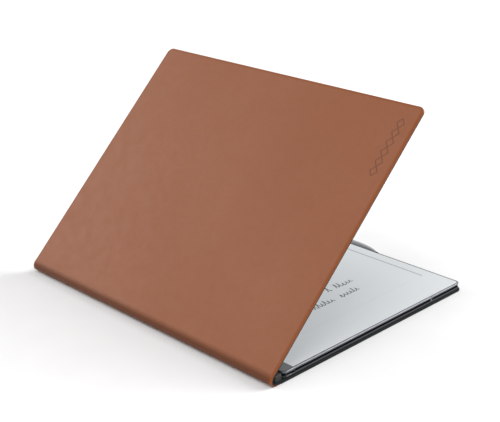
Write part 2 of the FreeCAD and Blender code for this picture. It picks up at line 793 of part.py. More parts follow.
def folded_flex(label, name, top_level, landing):
    """A flat flex that leaves a layer's near edge, folds down and lands on the main board."""
    thickness = cell("flex_thickness")
    x0 = TABLET.x0 + cell(f"{name}_across")
    x1 = x0 + cell(f"{name}_width")
    fold_y = TABLET.y0 + cell(f"{name}_up")
    landed_y = fold_y + cell("flex_landing")
    top = Span(top_level - thickness, top_level)
    upper = block(label + "_upper", Plan(x0, x1, fold_y, laid_out(landing).y0), top)
    drop = block(label + "_drop", Plan(x0, x1, fold_y, fold_y + thickness), Span(BOARD_TOP, top_level))
    foot = Span(BOARD_TOP, BOARD_TOP + thickness)
    lower = block(label + "_lower", Plan(x0, x1, fold_y, landed_y), foot)
    join(label, [upper, drop, lower])


def make_cables():
    display_level = PANEL_BASE + cell("panel_thickness") * 0.6
    folded_flex("display_flex_cable", "display_flex", display_level, "panel")
    digitizer_level = DIGITIZER_BASE + cell("digitizer_thickness") * 0.7
    folded_flex("digitizer_flex_cable", "digitizer_flex", digitizer_level, "digitizer")
    flex = Span(BOARD_TOP, BOARD_TOP + cell("flex_thickness"))
    slab("power_flex_cable", laid_out("power_flex"), flex)
    slab("power_switch", laid_out("power_switch"), Span(flex.high, flex.high + cell("switch_height")))
    antenna = laid_out("wifi_antenna")
    antenna_span = Span(BOARD_TOP, BOARD_TOP + cell("antenna_thickness"))
    slab("wifi_antenna", antenna, antenna_span, cell("inner_corner_radius"))
    radius, overlap = cell("antenna_cable_radius"), cell("antenna_cable_overlap")
    x0 = laid_out("main_board").x1 - overlap
    y = antenna.y0 + cell("antenna_cable_up")
    rod("antenna_cable", "x", x0, y, BOARD_TOP + radius, radius, antenna.x0 + overlap - x0)


def hold_magnet_starts():
    first, pitch = TABLET.y0 + cell("hold_magnet_first"), cell("hold_magnet_pitch")
    return [(number, first + pitch * number) for number in range(HOLD_MAGNET_COUNT)]


def make_magnets():
    span = Span(INNER_BASE, INNER_BASE + cell("magnet_thickness"))
    folio = [block(f"folio_magnet_{n}", plan, span) for n, plan in repeated("folio_magnet")]
    group("folio_hold_magnets", folio)
    edge = TABLET.x1 - cell("frame_inset") - cell("hold_magnet_gap")
    marker = []
    for number, y0 in hold_magnet_starts():
        plan = Plan(edge - cell("hold_magnet_width"), edge, y0, y0 + cell("hold_magnet_length"))
        marker.append(block(f"hold_magnet_{number}", plan, span))
    group("marker_hold_magnets", marker)


def make_port():
    """A hollow socket behind the slot in the frame, with its contact tongue."""
    wall = cell("port_wall")
    low_y = TABLET.y0 + cell("port_setback")
    high_y = low_y + cell("port_length")
    span = port_span()
    shell = slab("usb_shell", port_plan(low_y, high_y, wall), Span(span.low - wall, span.high + wall))
    inside = block("usb_hollow", port_plan(low_y - OVERCUT, high_y - cell("port_back_wall")), span)
    dress(shell, "Fillet", "Radius", cell("port_round"), runs_along_y)
    cut("usb_connector_shell", shell, inside)
    half = cell("tongue_height") * 0.5
    level = cell("port_level")
    tongue_y = low_y + cell("tongue_setback")
    plan = port_plan(tongue_y, high_y - cell("port_back_wall"), cell("tongue_inset") * -1)
    slab("usb_tongue", plan, Span(level - half, level + half))


def runs_along_y(edge):
    box = edge.BoundBox
    return box.YLength > CLOSE and box.XLength < CLOSE and box.ZLength < CLOSE


def make_button():
    gap = (cell("groove_height") - cell("button_height")) * 0.5
    face = TABLET.y1 - cell("groove_inset") + cell("button_proud")
    plan = button_plan(face - cell("button_depth"), face, 0.0)
    button = slab("power_button", plan, Span(GROOVE_BASE + gap, RIM_BASE - gap))
    dress(button, "Fillet", "Radius", cell("button_round"), runs_along_y)


# ---------------------------------------------------------------- stylus


def pen_y(along):
    return NEAR_Y + cell("marker_tip") + along


def pen_rod(label, start, length, radius):
    return rod(label, "y", PEN_X, pen_y(start), PEN_Z, radius, length)


PEN_X = TABLET.x1 + cell("marker_gap") + cell("marker_radius")
PEN_Z = cell("marker_level")


def make_nose():
    """A long rounded nose: the front half of an ellipsoid, bored for the nib and the coil."""
    start, end, reach = cell("marker_nose_start"), cell("marker_nose_end"), cell("marker_nose_reach")
    egg = doc.addObject("Part::Ellipsoid", "nose_form")
    bind(egg, "Radius1", reach)
    bind(egg, "Radius2", cell("marker_radius"))
    bind(egg, "Radius3", cell("marker_radius"))
    egg.Placement = FreeCAD.Placement(FreeCAD.Vector(), TURNS["y"])
    place(egg, PEN_X, pen_y(end), PEN_Z)
    limits = pen_rod("nose_limits", start, end - start, cell("marker_radius") + OVERCUT)
    form = doc.addObject("Part::Common", "nose_blank")
    form.Base = egg
    form.Tool = limits
    bore = pen_rod("nose_bore", ZERO, end, cell("nib_radius") + cell("nib_gap"))
    hollow_start = cell("nose_hollow_start")
    hollow = pen_rod("nose_hollow", hollow_start, end - hollow_start, cell("nose_hollow_radius"))
    cut("marker_nose", form, join("nose_bores", [bore, hollow]))


def make_cap(start, plug_radius):
    """A rounded end cap with a plug that sits in the barrel."""
    form = pen_rod("cap_form", start, cell("marker_cap_length"), cell("marker_radius"))
    rounded = doc.addObject("Part::Fillet", "cap_rounded")
    doc.recompute()
    rounded.Base = form
    far = pen_y(cell("marker_length")).value
    rim = [n for n, edge in enumerate(form.Shape.Edges, 1) if abs(edge.BoundBox.YMin - far) < CLOSE]
    corner = cell("marker_cap_round").value
    rounded.Edges = [(n, corner, corner) for n in rim]
    plug_length = cell("marker_plug_length")
    plug = pen_rod("cap_plug", start - plug_length, plug_length, plug_radius)
    join("marker_end_cap", [rounded, plug])


def pen_tube(label, name):
    length, radius, bore = cell(f"{name}_length"), cell(f"{name}_radius"), cell(f"{name}_bore")
    tube(label, "y", PEN_X, pen_y(cell(f"{name}_start")), PEN_Z, radius, bore, length)


def make_marker():
    make_nose()
    end = cell("marker_length") - cell("marker_cap_length")
    radius = cell("marker_radius")
    inner = radius - cell("marker_wall")
    nose_end = cell("marker_nose_end")
    tube("marker_barrel", "y", PEN_X, pen_y(nose_end), PEN_Z, radius, inner, end - nose_end)
    make_cap(end, inner - cell("marker_plug_gap"))
    pen_tube("marker_ferrite", "ferrite")
    pen_tube("marker_coil", "coil")
    sensor_start, sensor_length = cell("sensor_start"), cell("sensor_length")
    pen_rod("marker_pressure_sensor", sensor_start, sensor_length, cell("sensor_radius"))
    left, right = PEN_X - cell("carrier_left"), PEN_X + cell("carrier_right")
    carrier = Plan(left, right, pen_y(sensor_start + sensor_length), pen_y(cell("carrier_end")))
    board_base = PEN_Z - cell("pen_board_thickness")
    slab("marker_inner_frame", carrier, Span(board_base - cell("carrier_thickness"), board_base))
    inset = cell("pen_board_inset")
    board_start, board_end = pen_y(cell("pen_board_start")), pen_y(cell("pen_board_end"))
    slab("marker_board", Plan(left + inset, right - inset, board_start, board_end), Span(board_base, PEN_Z))
    make_pen_magnets()


def make_pen_magnets():
    """Bars inside the barrel, each beside one of the tablet's hold magnets."""
    half = cell("pen_magnet_half_height")
    near, far = PEN_X - cell("pen_magnet_near"), PEN_X - cell("pen_magnet_far")
    bars = []
    for number, y0 in hold_magnet_starts():
        plan = Plan(far, near, y0 + cell("pen_magnet_start"), y0 + cell("hold_magnet_length"))
        bars.append(block(f"pen_magnet_{number}", plan, Span(PEN_Z - half, PEN_Z + half)))
    group("marker_magnets", bars)


def make_nib():
    radius = cell("nib_radius")
    point = doc.addObject("Part::Sphere", "nib_point")
    bind(point, "Radius", radius)
    place(point, PEN_X, pen_y(radius), PEN_Z)
    stem = pen_rod("nib_stem", radius, cell("nib_length") - radius, radius)
    join("nib", [point, stem])
    start = cell("holder_start")
    holder = pen_rod("holder_form", start, cell("holder_length"), cell("holder_radius"))
    cut("nib_holder", holder, pen_rod("holder_bore", start, cell("nib_length") - start, radius))


# ---------------------------------------------------------------- build and write

NODES = (
    "back_cover_leather", "back_cover_board", "back_cover_lining", "back_cover_magnets",
    "spine_bar", "spine_bar_magnets",
    "spine_leather", "spine_board", "spine_lining",
    "front_cover_leather", "front_cover_board", "front_cover_lining", "front_cover_magnet",
    "cover_glass", "glass_adhesive", "epaper_panel", "digitizer_board", "support_plate",
    "side_frame", "left_band", "groove_band", "antenna_breaks", "rear_cover", "rear_cover_adhesive",
    "rear_feet", "accessory_contacts",
    "battery_cells", "battery_tape", "battery_board", "battery_cable", "power_switch",
    "power_flex_cable", "power_button",
    "main_board", "board_screws", "shield_can_processor", "shield_can_radio", "processor_chip",
    "memory_chip", "thermal_pad",
    "wifi_antenna", "antenna_cable", "usb_connector_shell", "usb_tongue", "display_flex_cable",
    "digitizer_flex_cable",
    "folio_hold_magnets", "marker_hold_magnets",
    "marker_barrel", "marker_nose", "marker_end_cap", "marker_ferrite", "marker_coil",
    "marker_pressure_sensor", "marker_inner_frame", "marker_board", "marker_magnets", "nib",
    "nib_holder",
)


def build():
    make_back_cover()
    make_spine_bar()
    make_spine()
    make_front_cover()
    make_rear_cover()
    make_side_frame()
    make_frame_trim()
    make_screen_stack()
    make_battery()
    make_boards()
    make_cables()
    make_magnets()
    make_port()
    make_button()
    make_marker()
    make_nib()
    doc.recompute()


def write():
    """Check every object, then write one STEP file for each named piece."""
    for thing in doc.Objects:
        if "Invalid" in thing.State or "Error" in thing.State:
            raise ValueError(f"{thing.Label} failed: {thing.State}")
    made = {thing.Label: thing for thing in doc.Objects}
    for node in NODES:
        shape = made[node].Shape
        if shape.isNull() or not shape.isValid():
            raise ValueError(f"{node} has no valid shape")
    os.makedirs("parts", exist_ok=True)
    for node in NODES:
        shape = made[node].Shape
        shape.exportStep(f"parts/{node}.step")
        print(f"{node:24s} {len(shape.Solids)} solid(s) {shape.Volume:10.1f} mm3")
    print(len(NODES), "pieces")


build()
write()
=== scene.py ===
import json
import math
import random

import bmesh
import bpy
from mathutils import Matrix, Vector


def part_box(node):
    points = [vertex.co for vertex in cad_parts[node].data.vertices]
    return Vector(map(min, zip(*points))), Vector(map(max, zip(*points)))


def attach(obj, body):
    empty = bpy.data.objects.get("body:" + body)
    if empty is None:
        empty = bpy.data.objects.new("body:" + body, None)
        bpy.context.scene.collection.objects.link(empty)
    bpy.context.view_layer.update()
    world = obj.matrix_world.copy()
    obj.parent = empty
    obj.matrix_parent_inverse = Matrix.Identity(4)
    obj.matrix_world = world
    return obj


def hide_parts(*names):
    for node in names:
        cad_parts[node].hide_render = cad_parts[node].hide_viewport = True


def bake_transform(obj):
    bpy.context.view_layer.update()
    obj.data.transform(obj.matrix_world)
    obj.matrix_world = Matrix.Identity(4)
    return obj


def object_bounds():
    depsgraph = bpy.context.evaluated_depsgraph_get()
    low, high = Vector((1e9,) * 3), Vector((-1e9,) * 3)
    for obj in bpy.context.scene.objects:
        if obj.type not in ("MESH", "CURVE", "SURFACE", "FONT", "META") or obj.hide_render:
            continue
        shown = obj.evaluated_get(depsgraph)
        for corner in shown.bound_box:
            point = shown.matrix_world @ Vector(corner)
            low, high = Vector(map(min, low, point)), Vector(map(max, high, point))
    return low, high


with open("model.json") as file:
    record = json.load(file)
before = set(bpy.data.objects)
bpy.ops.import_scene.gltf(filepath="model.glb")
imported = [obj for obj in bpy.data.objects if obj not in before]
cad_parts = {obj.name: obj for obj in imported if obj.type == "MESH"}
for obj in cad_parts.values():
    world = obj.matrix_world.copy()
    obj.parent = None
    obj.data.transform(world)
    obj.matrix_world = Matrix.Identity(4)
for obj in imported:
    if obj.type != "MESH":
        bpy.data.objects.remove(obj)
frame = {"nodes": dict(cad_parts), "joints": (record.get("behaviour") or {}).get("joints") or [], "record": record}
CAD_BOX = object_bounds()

MM = 0.001
JOINTS = {joint["name"]: joint for joint in frame["joints"]}
SLOTS = {part["node"]: part["material_slot"] for part in frame["record"]["subparts"]}


# ---------------------------------------------------------------- camera, floor and light

CAMERA_PLACE = (-0.5211, -0.5241, 0.3394)
CAMERA_TURN = (67.90, 0.01, -45.17)
CAMERA_LENS = 78.85
CAMERA_SENSOR = 36.0
CAMERA_SHIFT = (0.0, 0.04)
CAMERA_CLIP = (0.01, 20.0)

# each light: its place, its size and its power
LIGHTS = {
    "rear_light": ((-0.95, 2.60, 1.30), 1.7, 32.0),
    "key_light": ((-0.95, -0.25, 1.05), 1.0, 5.9),
    "side_light": ((2.50, -1.30, 1.62), 1.9, 112.0),
}
LIGHT_AIM = Vector((0.0, 0.0, 0.04))
SKY_LOW, SKY_HIGH = 0.22, 0.62
SKY_BRIGHTEST_AT = 0.8
FLOOR_REACH = 30.0
FLOOR_GAP = 0.0001
FLOOR_GREY = (0.86, 0.86, 0.86)


def make_camera():
    data = bpy.data.cameras.new("camera")
    data.lens = CAMERA_LENS
    data.sensor_width = CAMERA_SENSOR
    data.shift_x, data.shift_y = CAMERA_SHIFT
    data.clip_start, data.clip_end = CAMERA_CLIP
    camera = bpy.data.objects.new("camera", data)
    camera.location = CAMERA_PLACE
    camera.rotation_euler = [math.radians(angle) for angle in CAMERA_TURN]
    bpy.context.scene.collection.objects.link(camera)
    bpy.context.scene.camera = camera


def area_light(name, place, size, power):
    """A soft square white light that points at the middle of the object."""
    data = bpy.data.lights.new(name, "AREA")
    data.shape = "SQUARE"
    data.size = size
    data.energy = power
    light = bpy.data.objects.new(name, data)
    light.location = place
    aim = LIGHT_AIM - Vector(place)
    light.rotation_euler = aim.to_track_quat("-Z", "Y").to_euler()
    bpy.context.scene.collection.objects.link(light)


def make_stage():
    """A pale floor just under the object, the sky and the three lights."""
    mesh = bpy.data.meshes.new("floor")
    reach, level = FLOOR_REACH, CAD_BOX[0].z - FLOOR_GAP
    corners = [(-reach, -reach, level), (reach, -reach, level), (reach, reach, level), (-reach, reach, level)]
    mesh.from_pydata(corners, [], [(0, 1, 2, 3)])
    floor = bpy.data.objects.new("floor", mesh)
    bpy.context.scene.collection.objects.link(floor)
    mesh.materials.append(grained("floor_paper", FLOOR_GREY, 0.9, shift=0.01))
    make_sky()
    for name, (place, size, power) in LIGHTS.items():
        area_light(name, place, size, power)


def make_sky():
    """A white dome, brightest overhead and dimmer towards the floor."""
    world = bpy.data.worlds.new("studio")
    world.use_nodes = True
    tree = world.node_tree
    direction = add_node(tree, "ShaderNodeTexCoord").outputs["Generated"]
    height = add_node(tree, "ShaderNodeSeparateXYZ", [("Vector", direction)]).outputs["Z"]
    strength = spread(tree, height, SKY_LOW, SKY_HIGH, 0.0, SKY_BRIGHTEST_AT)
    tree.links.new(strength, tree.nodes["Background"].inputs["Strength"])
    tree.nodes["Background"].inputs["Color"].default_value = (1.0, 1.0, 1.0, 1.0)
    bpy.context.scene.world = world
    bpy.context.scene.view_settings.view_transform = "Standard"


# ---------------------------------------------------------------- materials


def new_material(name, colour, roughness, metallic=0.0):
    """An opaque material with a plain shader. Returns it, its node tree and its shader node."""
    made = bpy.data.materials.new(name)
    made.use_nodes = True
    shader = made.node_tree.nodes["Principled BSDF"]
    shader.inputs["Base Color"].default_value = (*colour, 1.0)
    shader.inputs["Roughness"].default_value = roughness
    shader.inputs["Metallic"].default_value = metallic
    return made, made.node_tree, shader


def add_node(tree, kind, links=(), **values):
    """A node with some values set and some sockets linked from other nodes' outputs."""
    node = tree.nodes.new(kind)
    for name, value in values.items():
        setattr(node, name, value)
    for socket, source in links:
        tree.links.new(source, node.inputs[socket])
    return node


def place_of(tree):
    """The point on the surface, in metres."""
    return add_node(tree, "ShaderNodeTexCoord").outputs["Object"]


def noise(tree, scale, detail=2.0, roughness=0.5, at=None):
    """A cloudy 0 to 1 pattern; scale is in repeats per metre."""
    node = add_node(tree, "ShaderNodeTexNoise", [("Vector", at or place_of(tree))])
    node.inputs["Scale"].default_value = scale
    node.inputs["Detail"].default_value = detail
    node.inputs["Roughness"].default_value = roughness
    return node.outputs["Fac"]


def spread(tree, value, low, high, start=0.3, end=0.7):
    """Maps a 0 to 1 pattern to a range of numbers."""
    node = add_node(tree, "ShaderNodeMapRange", [("Value", value)])
    for name, number in (("From Min", start), ("From Max", end), ("To Min", low), ("To Max", high)):
        node.inputs[name].default_value = number
    return node.outputs["Result"]


def mix(tree, factor, first, second):
    """Mixes two colours by another node's output. Each is a colour or a node's output."""
    node = add_node(tree, "ShaderNodeMix", [(0, factor)], data_type="RGBA")
    for socket, value in ((6, first), (7, second)):
        if isinstance(value, bpy.types.NodeSocket):
            tree.links.new(value, node.inputs[socket])
        else:
            node.inputs[socket].default_value = (*value, 1.0)
    return node.outputs[2]


def mask(tree, name):
    """A pattern that a piece's own mesh carries at its points."""
    return add_node(tree, "ShaderNodeAttribute", attribute_name=name).outputs["Fac"]


def bump(tree, shader, height, distance, strength=1.0, under=None):
    """Tilts the shader's normal by a height pattern, on top of another bump if one is given."""
    node = add_node(tree, "ShaderNodeBump", [("Height", height)])
    node.inputs["Distance"].default_value = distance
    node.inputs["Strength"].default_value = strength
    if under:
        tree.links.new(under, node.inputs["Normal"])
    tree.links.new(node.outputs["Normal"], shader.inputs["Normal"])
    return node.outputs["Normal"]


def scaled(colour, factor):
    return tuple(channel * factor for channel in colour)


def grained(name, colour, roughness, metallic=0.0, specular=0.4, grain=4000.0, depth=0.01, shift=0.08):
    """A moulded, anodised or painted surface: fine grain, slight colour drift and uneven gloss."""
    made, tree, shader = new_material(name, colour, roughness, metallic)
    shader.inputs["Specular IOR Level"].default_value = specular
    drift = noise(tree, 35.0, 3.0)
    tint = mix(tree, spread(tree, drift, 0.0, 1.0), scaled(colour, 1 - shift), scaled(colour, 1 + shift))
    tree.links.new(tint, shader.inputs["Base Color"])
    fine = noise(tree, grain, 2.0, 0.6)
    gloss = spread(tree, noise(tree, 140.0, 4.0), roughness - 0.05, roughness + 0.05)
    tree.links.new(gloss, shader.inputs["Roughness"])
    bump(tree, shader, fine, depth * MM)
    return made


LEATHER = (0.300, 0.097, 0.038)
LEATHER_PINK = (0.315, 0.110, 0.048)
LEATHER_DEEP = (0.235, 0.070, 0.024)
LEATHER_PORE = (0.215, 0.066, 0.025)
LEATHER_EDGE = (0.262, 0.066, 0.011)
# painted shade: the dark brown that the leather's colour fades to round the spine's folds, standing in for the
# shade there
LEATHER_FOLD_SHADE = (0.095, 0.024, 0.004)
LEATHER_PRESSED = (0.180, 0.058, 0.028)


def make_leather():
    """Smooth cognac leather: fine grain with pores, cloudy dye, burnished turned edges, and painted shade that
    darkens the colour round the folds.
    """
    made, tree, shader = new_material("cognac_leather", LEATHER, 0.5)
    clouds = noise(tree, 9.0, 3.0, 0.55)
    dye_and_painted_shade = mix(tree, spread(tree, clouds, 0.0, 1.0, 0.35, 0.65), LEATHER, LEATHER_PINK)
    mottle = noise(tree, 260.0, 3.0, 0.6)
    dye_and_painted_shade = mix(tree, spread(tree, mottle, 0.0, 0.22), dye_and_painted_shade, LEATHER_DEEP)
    cells = add_node(tree, "ShaderNodeTexVoronoi", [("Vector", place_of(tree))], feature="DISTANCE_TO_EDGE")
    cells.inputs["Scale"].default_value = 1300.0
    crease = spread(tree, cells.outputs["Distance"], 0.0, 1.0, 0.0, 0.22)
    pores = noise(tree, 2600.0, 2.0, 0.5)
    pore = spread(tree, pores, 1.0, 0.0, 0.30, 0.38)
    dye_and_painted_shade = mix(tree, spread(tree, pore, 0.0, 0.35, 0.0, 1.0), dye_and_painted_shade, LEATHER_PORE)
    # painted shade: the fold mask darkens the leather's colour round the spine's folds
    for name, amount, colour in (
        ("fold", 0.85, LEATHER_FOLD_SHADE),
        ("edge", 0.90, LEATHER_EDGE),
        ("pressed", 0.90, LEATHER_PRESSED),
    ):
        dye_and_painted_shade = mix(tree, spread(tree, mask(tree, name), 0.0, amount, 0.0, 1.0), dye_and_painted_shade, colour)
    tree.links.new(dye_and_painted_shade, shader.inputs["Base Color"])
    gloss = spread(tree, noise(tree, 120.0, 4.0, 0.6), 0.44, 0.56)
    tree.links.new(gloss, shader.inputs["Roughness"])
    shader.inputs["Specular IOR Level"].default_value = 0.31
    shader.inputs["Sheen Weight"].default_value = 0.04
    shader.inputs["Sheen Roughness"].default_value = 0.45
    shader.inputs["Sheen Tint"].default_value = (1.0, 0.62, 0.42, 1.0)
    low = bump(tree, shader, mottle, 0.05 * MM, 0.5)
    fine = bump(tree, shader, crease, 0.03 * MM, 0.55, low)
    bump(tree, shader, pores, 0.02 * MM, 0.5, fine)
    return made


LINING = (0.017, 0.0208, 0.0222)


def make_lining():
    """Dark microfibre with a short nap that lies in soft patches."""
    made, tree, shader = new_material("microfibre", LINING, 0.9)
    patches = noise(tree, 60.0, 3.0, 0.6)
    nap = noise(tree, 3200.0, 3.0, 0.7)
    shade = mix(tree, spread(tree, patches, 0.0, 0.6), LINING, scaled(LINING, 1.35))
    shade = mix(tree, spread(tree, nap, 0.0, 0.5), shade, scaled(LINING, 0.6))
    tree.links.new(shade, shader.inputs["Base Color"])
    shader.inputs["Specular IOR Level"].default_value = 0.1
    shader.inputs["Sheen Weight"].default_value = 0.06
    shader.inputs["Sheen Roughness"].default_value = 0.4
    shader.inputs["Sheen Tint"].default_value = (0.60, 0.66, 0.68, 1.0)
    bump(tree, shader, nap, 0.05 * MM, 0.8)
    return made


SCREEN = (0.685, 0.712, 0.728)


def make_screen():
    """An e-paper page under finely etched glass: speckled grey capsules and a soft, broken gloss."""
    made, tree, shader = new_material("etched_screen", SCREEN, 0.56)
    capsules = noise(tree, 5200.0, 2.0, 0.7)
    page = noise(tree, 14.0, 2.0)
    shade = mix(tree, spread(tree, capsules, 0.0, 1.0), scaled(SCREEN, 0.95), scaled(SCREEN, 1.05))
    shade = mix(tree, spread(tree, page, 0.0, 0.4), shade, scaled(SCREEN, 0.97))
    tree.links.new(shade, shader.inputs["Base Color"])
    etch = noise(tree, 7000.0, 2.0, 0.6)
    tree.links.new(spread(tree, etch, 0.50, 0.62), shader.inputs["Roughness"])
    shader.inputs["Specular IOR Level"].default_value = 0.3
    shader.inputs["Coat Weight"].default_value = 0.06
    shader.inputs["Coat Roughness"].default_value = 0.4
    bump(tree, shader, etch, 0.004 * MM)
    return made


def make_brushed(name, colour, roughness):
    """Thin metal with fine marks that run along Y."""
    made, tree, shader = new_material(name, colour, roughness, 1.0)
    stretch = add_node(tree, "ShaderNodeMapping", [("Vector", place_of(tree))])
    stretch.inputs["Scale"].default_value = (1.0, 0.05, 1.0)
    lines = noise(tree, 6000.0, 2.0, 0.6, stretch.outputs["Vector"])
    tree.links.new(spread(tree, lines, roughness - 0.08, roughness + 0.08), shader.inputs["Roughness"])
    tint = mix(tree, spread(tree, lines, 0.0, 1.0), scaled(colour, 0.9), scaled(colour, 1.06))
    tree.links.new(tint, shader.inputs["Base Color"])
    bump(tree, shader, lines, 0.006 * MM)
    return made


# slot or finish: colour, roughness, metallic, specular, grain per metre, grain depth in mm, colour drift
GRAINED = {
    "cover_core": ((0.024, 0.029, 0.031), 0.75, 0.0, 0.15, 2500.0, 0.03, 0.15),
    "spine_bar": ((0.040, 0.038, 0.036), 0.60, 0.0, 0.20, 5000.0, 0.012, 0.10),
    "magnet": ((0.50, 0.50, 0.51), 0.32, 1.0, 0.50, 3000.0, 0.004, 0.04),
    "adhesive": ((0.55, 0.56, 0.57), 0.40, 0.0, 0.50, 900.0, 0.01, 0.05),
    "epaper": ((0.60, 0.62, 0.63), 0.35, 0.0, 0.50, 5200.0, 0.003, 0.04),
    "circuit_board": ((0.010, 0.075, 0.045), 0.42, 0.0, 0.50, 1500.0, 0.01, 0.20),
    "thin_aluminium": ((0.60, 0.61, 0.63), 0.40, 1.0, 0.50, 4000.0, 0.005, 0.05),
    "frame_metal": ((0.195, 0.203, 0.222), 0.48, 1.0, 0.50, 7000.0, 0.006, 0.03),
    "band": ((0.165, 0.172, 0.180), 0.50, 0.0, 0.20, 7000.0, 0.006, 0.03),
    "groove": ((0.004, 0.004, 0.005), 0.80, 0.0, 0.02, 5000.0, 0.006, 0.10),
    "antenna_break": ((0.150, 0.153, 0.160), 0.50, 0.0, 0.30, 4000.0, 0.008, 0.05),
    "rear_shell": ((0.090, 0.093, 0.096), 0.52, 0.0, 0.25, 6000.0, 0.010, 0.06),
    "rubber": ((0.022, 0.022, 0.023), 0.85, 0.0, 0.30, 2500.0, 0.03, 0.12),
    "gold_contact": ((0.85, 0.58, 0.22), 0.28, 1.0, 0.50, 3000.0, 0.003, 0.04),
    "battery_foil": ((0.52, 0.52, 0.53), 0.45, 0.9, 0.50, 700.0, 0.03, 0.05),
    "flex": ((0.36, 0.15, 0.030), 0.35, 0.0, 0.50, 1200.0, 0.01, 0.12),
    "chip": ((0.014, 0.014, 0.015), 0.55, 0.0, 0.50, 6000.0, 0.01, 0.10),
    "gasket": ((0.10, 0.103, 0.108), 0.60, 0.0, 0.15, 5000.0, 0.004, 0.05),
    "port_trim": ((0.18, 0.185, 0.195), 0.42, 1.0, 0.50, 7000.0, 0.004, 0.03),
    "cable_jacket": ((0.018, 0.018, 0.018), 0.50, 0.0, 0.50, 3000.0, 0.01, 0.10),
    "button": ((0.30, 0.31, 0.33), 0.38, 1.0, 0.50, 7000.0, 0.006, 0.03),
    "marker_shell": ((0.40, 0.41, 0.425), 0.50, 0.0, 0.40, 5200.0, 0.012, 0.03),
    "ferrite": ((0.030, 0.030, 0.032), 0.60, 0.0, 0.40, 2500.0, 0.02, 0.12),
    "copper": ((0.70, 0.30, 0.14), 0.30, 1.0, 0.50, 3000.0, 0.02, 0.08),
    "marker_carrier": ((0.06, 0.06, 0.064), 0.55, 0.0, 0.40, 3000.0, 0.01, 0.08),
    "nib": ((0.007, 0.007, 0.008), 0.60, 0.0, 0.12, 4000.0, 0.015, 0.12),
}


def make_materials():
    """One material for each slot of the record, and two finishes for pieces made here."""
    made = {}
    for slot, values in GRAINED.items():
        made[slot] = grained(f"{slot}_finish", *values)
    made["leather"] = make_leather()
    made["lining"] = make_lining()
    made["screen"] = make_screen()
    made["steel"] = make_brushed("pressed_steel", (0.56, 0.56, 0.57), 0.34)
    return made


# ---------------------------------------------------------------- CAD pieces that stay

# pieces that show, and the width of their soft edge in mm
BEVELLED = {
    "side_frame": 0.10,
    "left_band": 0.08,
    "cover_glass": 0.07,
    "groove_band": 0.10,
    "rear_cover": 0.12,
    "spine_bar": 0.15,
    "back_cover_board": 0.12,
    "antenna_breaks": 0.05,
    "usb_tongue": 0.08,
    "accessory_contacts": 0.06,
    "rear_feet": 0.06,
}
WELD_GAP = 0.001 * MM
BEVEL_FROM = math.radians(35)


def dress_cad(materials):
    """Every CAD piece gets its material, and those that show get a soft edge."""
    for name, node in frame["nodes"].items():
        node.data.materials.clear()
        node.data.materials.append(materials[SLOTS[name]])
    for name, width in BEVELLED.items():
        node = frame["nodes"][name]
        weld = node.modifiers.new("weld", "WELD")
        weld.merge_threshold = WELD_GAP
        bevel = node.modifiers.new("soft_edge", "BEVEL")
        bevel.width = width * MM
        bevel.segments = 2
        bevel.limit_method = "ANGLE"
        bevel.angle_limit = BEVEL_FROM
        normals = node.modifiers.new("normals", "WEIGHTED_NORMAL")
        normals.keep_sharp = False


# ---------------------------------------------------------------- bent sheets: leather and lining

SPINE_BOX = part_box("spine_leather")
SPINE_X = SPINE_BOX[0].x
SPINE_INNER_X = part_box("spine_lining")[1].x
NEAR_Y, FAR_Y = SPINE_BOX[0].y, SPINE_BOX[1].y
LOW_FOLD = Vector(JOINTS["spine_fold"]["pos_m"])
HIGH_FOLD = Vector(JOINTS["cover_fold"]["pos_m"])
OPEN = math.radians(-JOINTS["cover_fold"]["range_deg"][0])
COVER_OUT = Vector((math.cos(OPEN), math.sin(OPEN)))
COVER_UP = Vector((-math.sin(OPEN), math.cos(OPEN)))
COVER_REACH = 198.8 * MM
COVER_HALF = 1.0 * MM
CORNER_RADIUS = 4.8 * MM
SEAM_LEVEL = 4.75 * MM
LINING_INSET = 0.06 * MM
LINING_ROUNDING = 0.18 * MM
FOLD_LINING = 1.2 * MM
BACK_EDGE_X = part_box("back_cover_leather")[1].x
BACK_LEATHER_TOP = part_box("back_cover_leather")[1].z
BACK_LINING_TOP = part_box("back_cover_lining")[1].z
CORNER_STEPS = 10

# the spine's swell: its size, the height where it is full, where it fades out, and how far in it reaches
SWELL = 0.9 * MM
SWELL_FULL_AT = 2.8 * MM
SWELL_FADES = (4.2 * MM, 10.5 * MM)
SWELL_REACH = (2.6 * MM, 7 * MM)

# the burnished edge: full up to one distance from the edge, gone at the other
EDGE_FULL = 0.9 * MM
EDGE_FADE = 2.5 * MM
RELIEF_DEPTH = 0.12 * MM
NEAR_DOUBLE = 0.02 * MM


class Bend:
    """A line in the XZ plane that runs straight, turns once round an arc, and runs straight again."""

    def __init__(self, start, corner, end, radius, outward):
        self.start, self.radius, self.outward = start, radius, outward
        self.first = (corner - start).normalized()
        self.last = (end - corner).normalized()
        self.turn = self.first.angle_signed(self.last)
        cut = radius * math.tan(abs(self.turn) / 2)
        self.before = (corner - start).length - cut
        self.arc = radius * abs(self.turn)
        self.leave = corner + self.last * cut
        self.length = self.before + self.arc + (end - corner).length - cut
        side = math.copysign(1.0, self.first.x * self.last.y - self.first.y * self.last.x)
        self.side = side
        self.middle = start + self.first * self.before + Vector((-self.first.y, self.first.x)) * side * radius

    def at(self, along):
        """The point and the outward direction at a distance along the line."""
        if along <= self.before:
            point, heading = self.start + self.first * along, self.first
        elif along < self.before + self.arc:
            angle = (along - self.before) / self.radius * self.side
            heading = rotate(self.first, angle)
            point = self.middle - Vector((-heading.y, heading.x)) * self.side * self.radius
        else:
            point, heading = self.leave + self.last * (along - self.before - self.arc), self.last
        return point, Vector((-heading.y, heading.x)) * self.outward


def rotate(direction, angle):
    c, s = math.cos(angle), math.sin(angle)
    return Vector((direction.x * c - direction.y * s, direction.x * s + direction.y * c))


def spaced(start, end, step):
    """Numbers from start to end, evenly spaced by about a step."""
    count = max(1, round((end - start) / step))
    return [start + (end - start) * i / count for i in range(count + 1)]


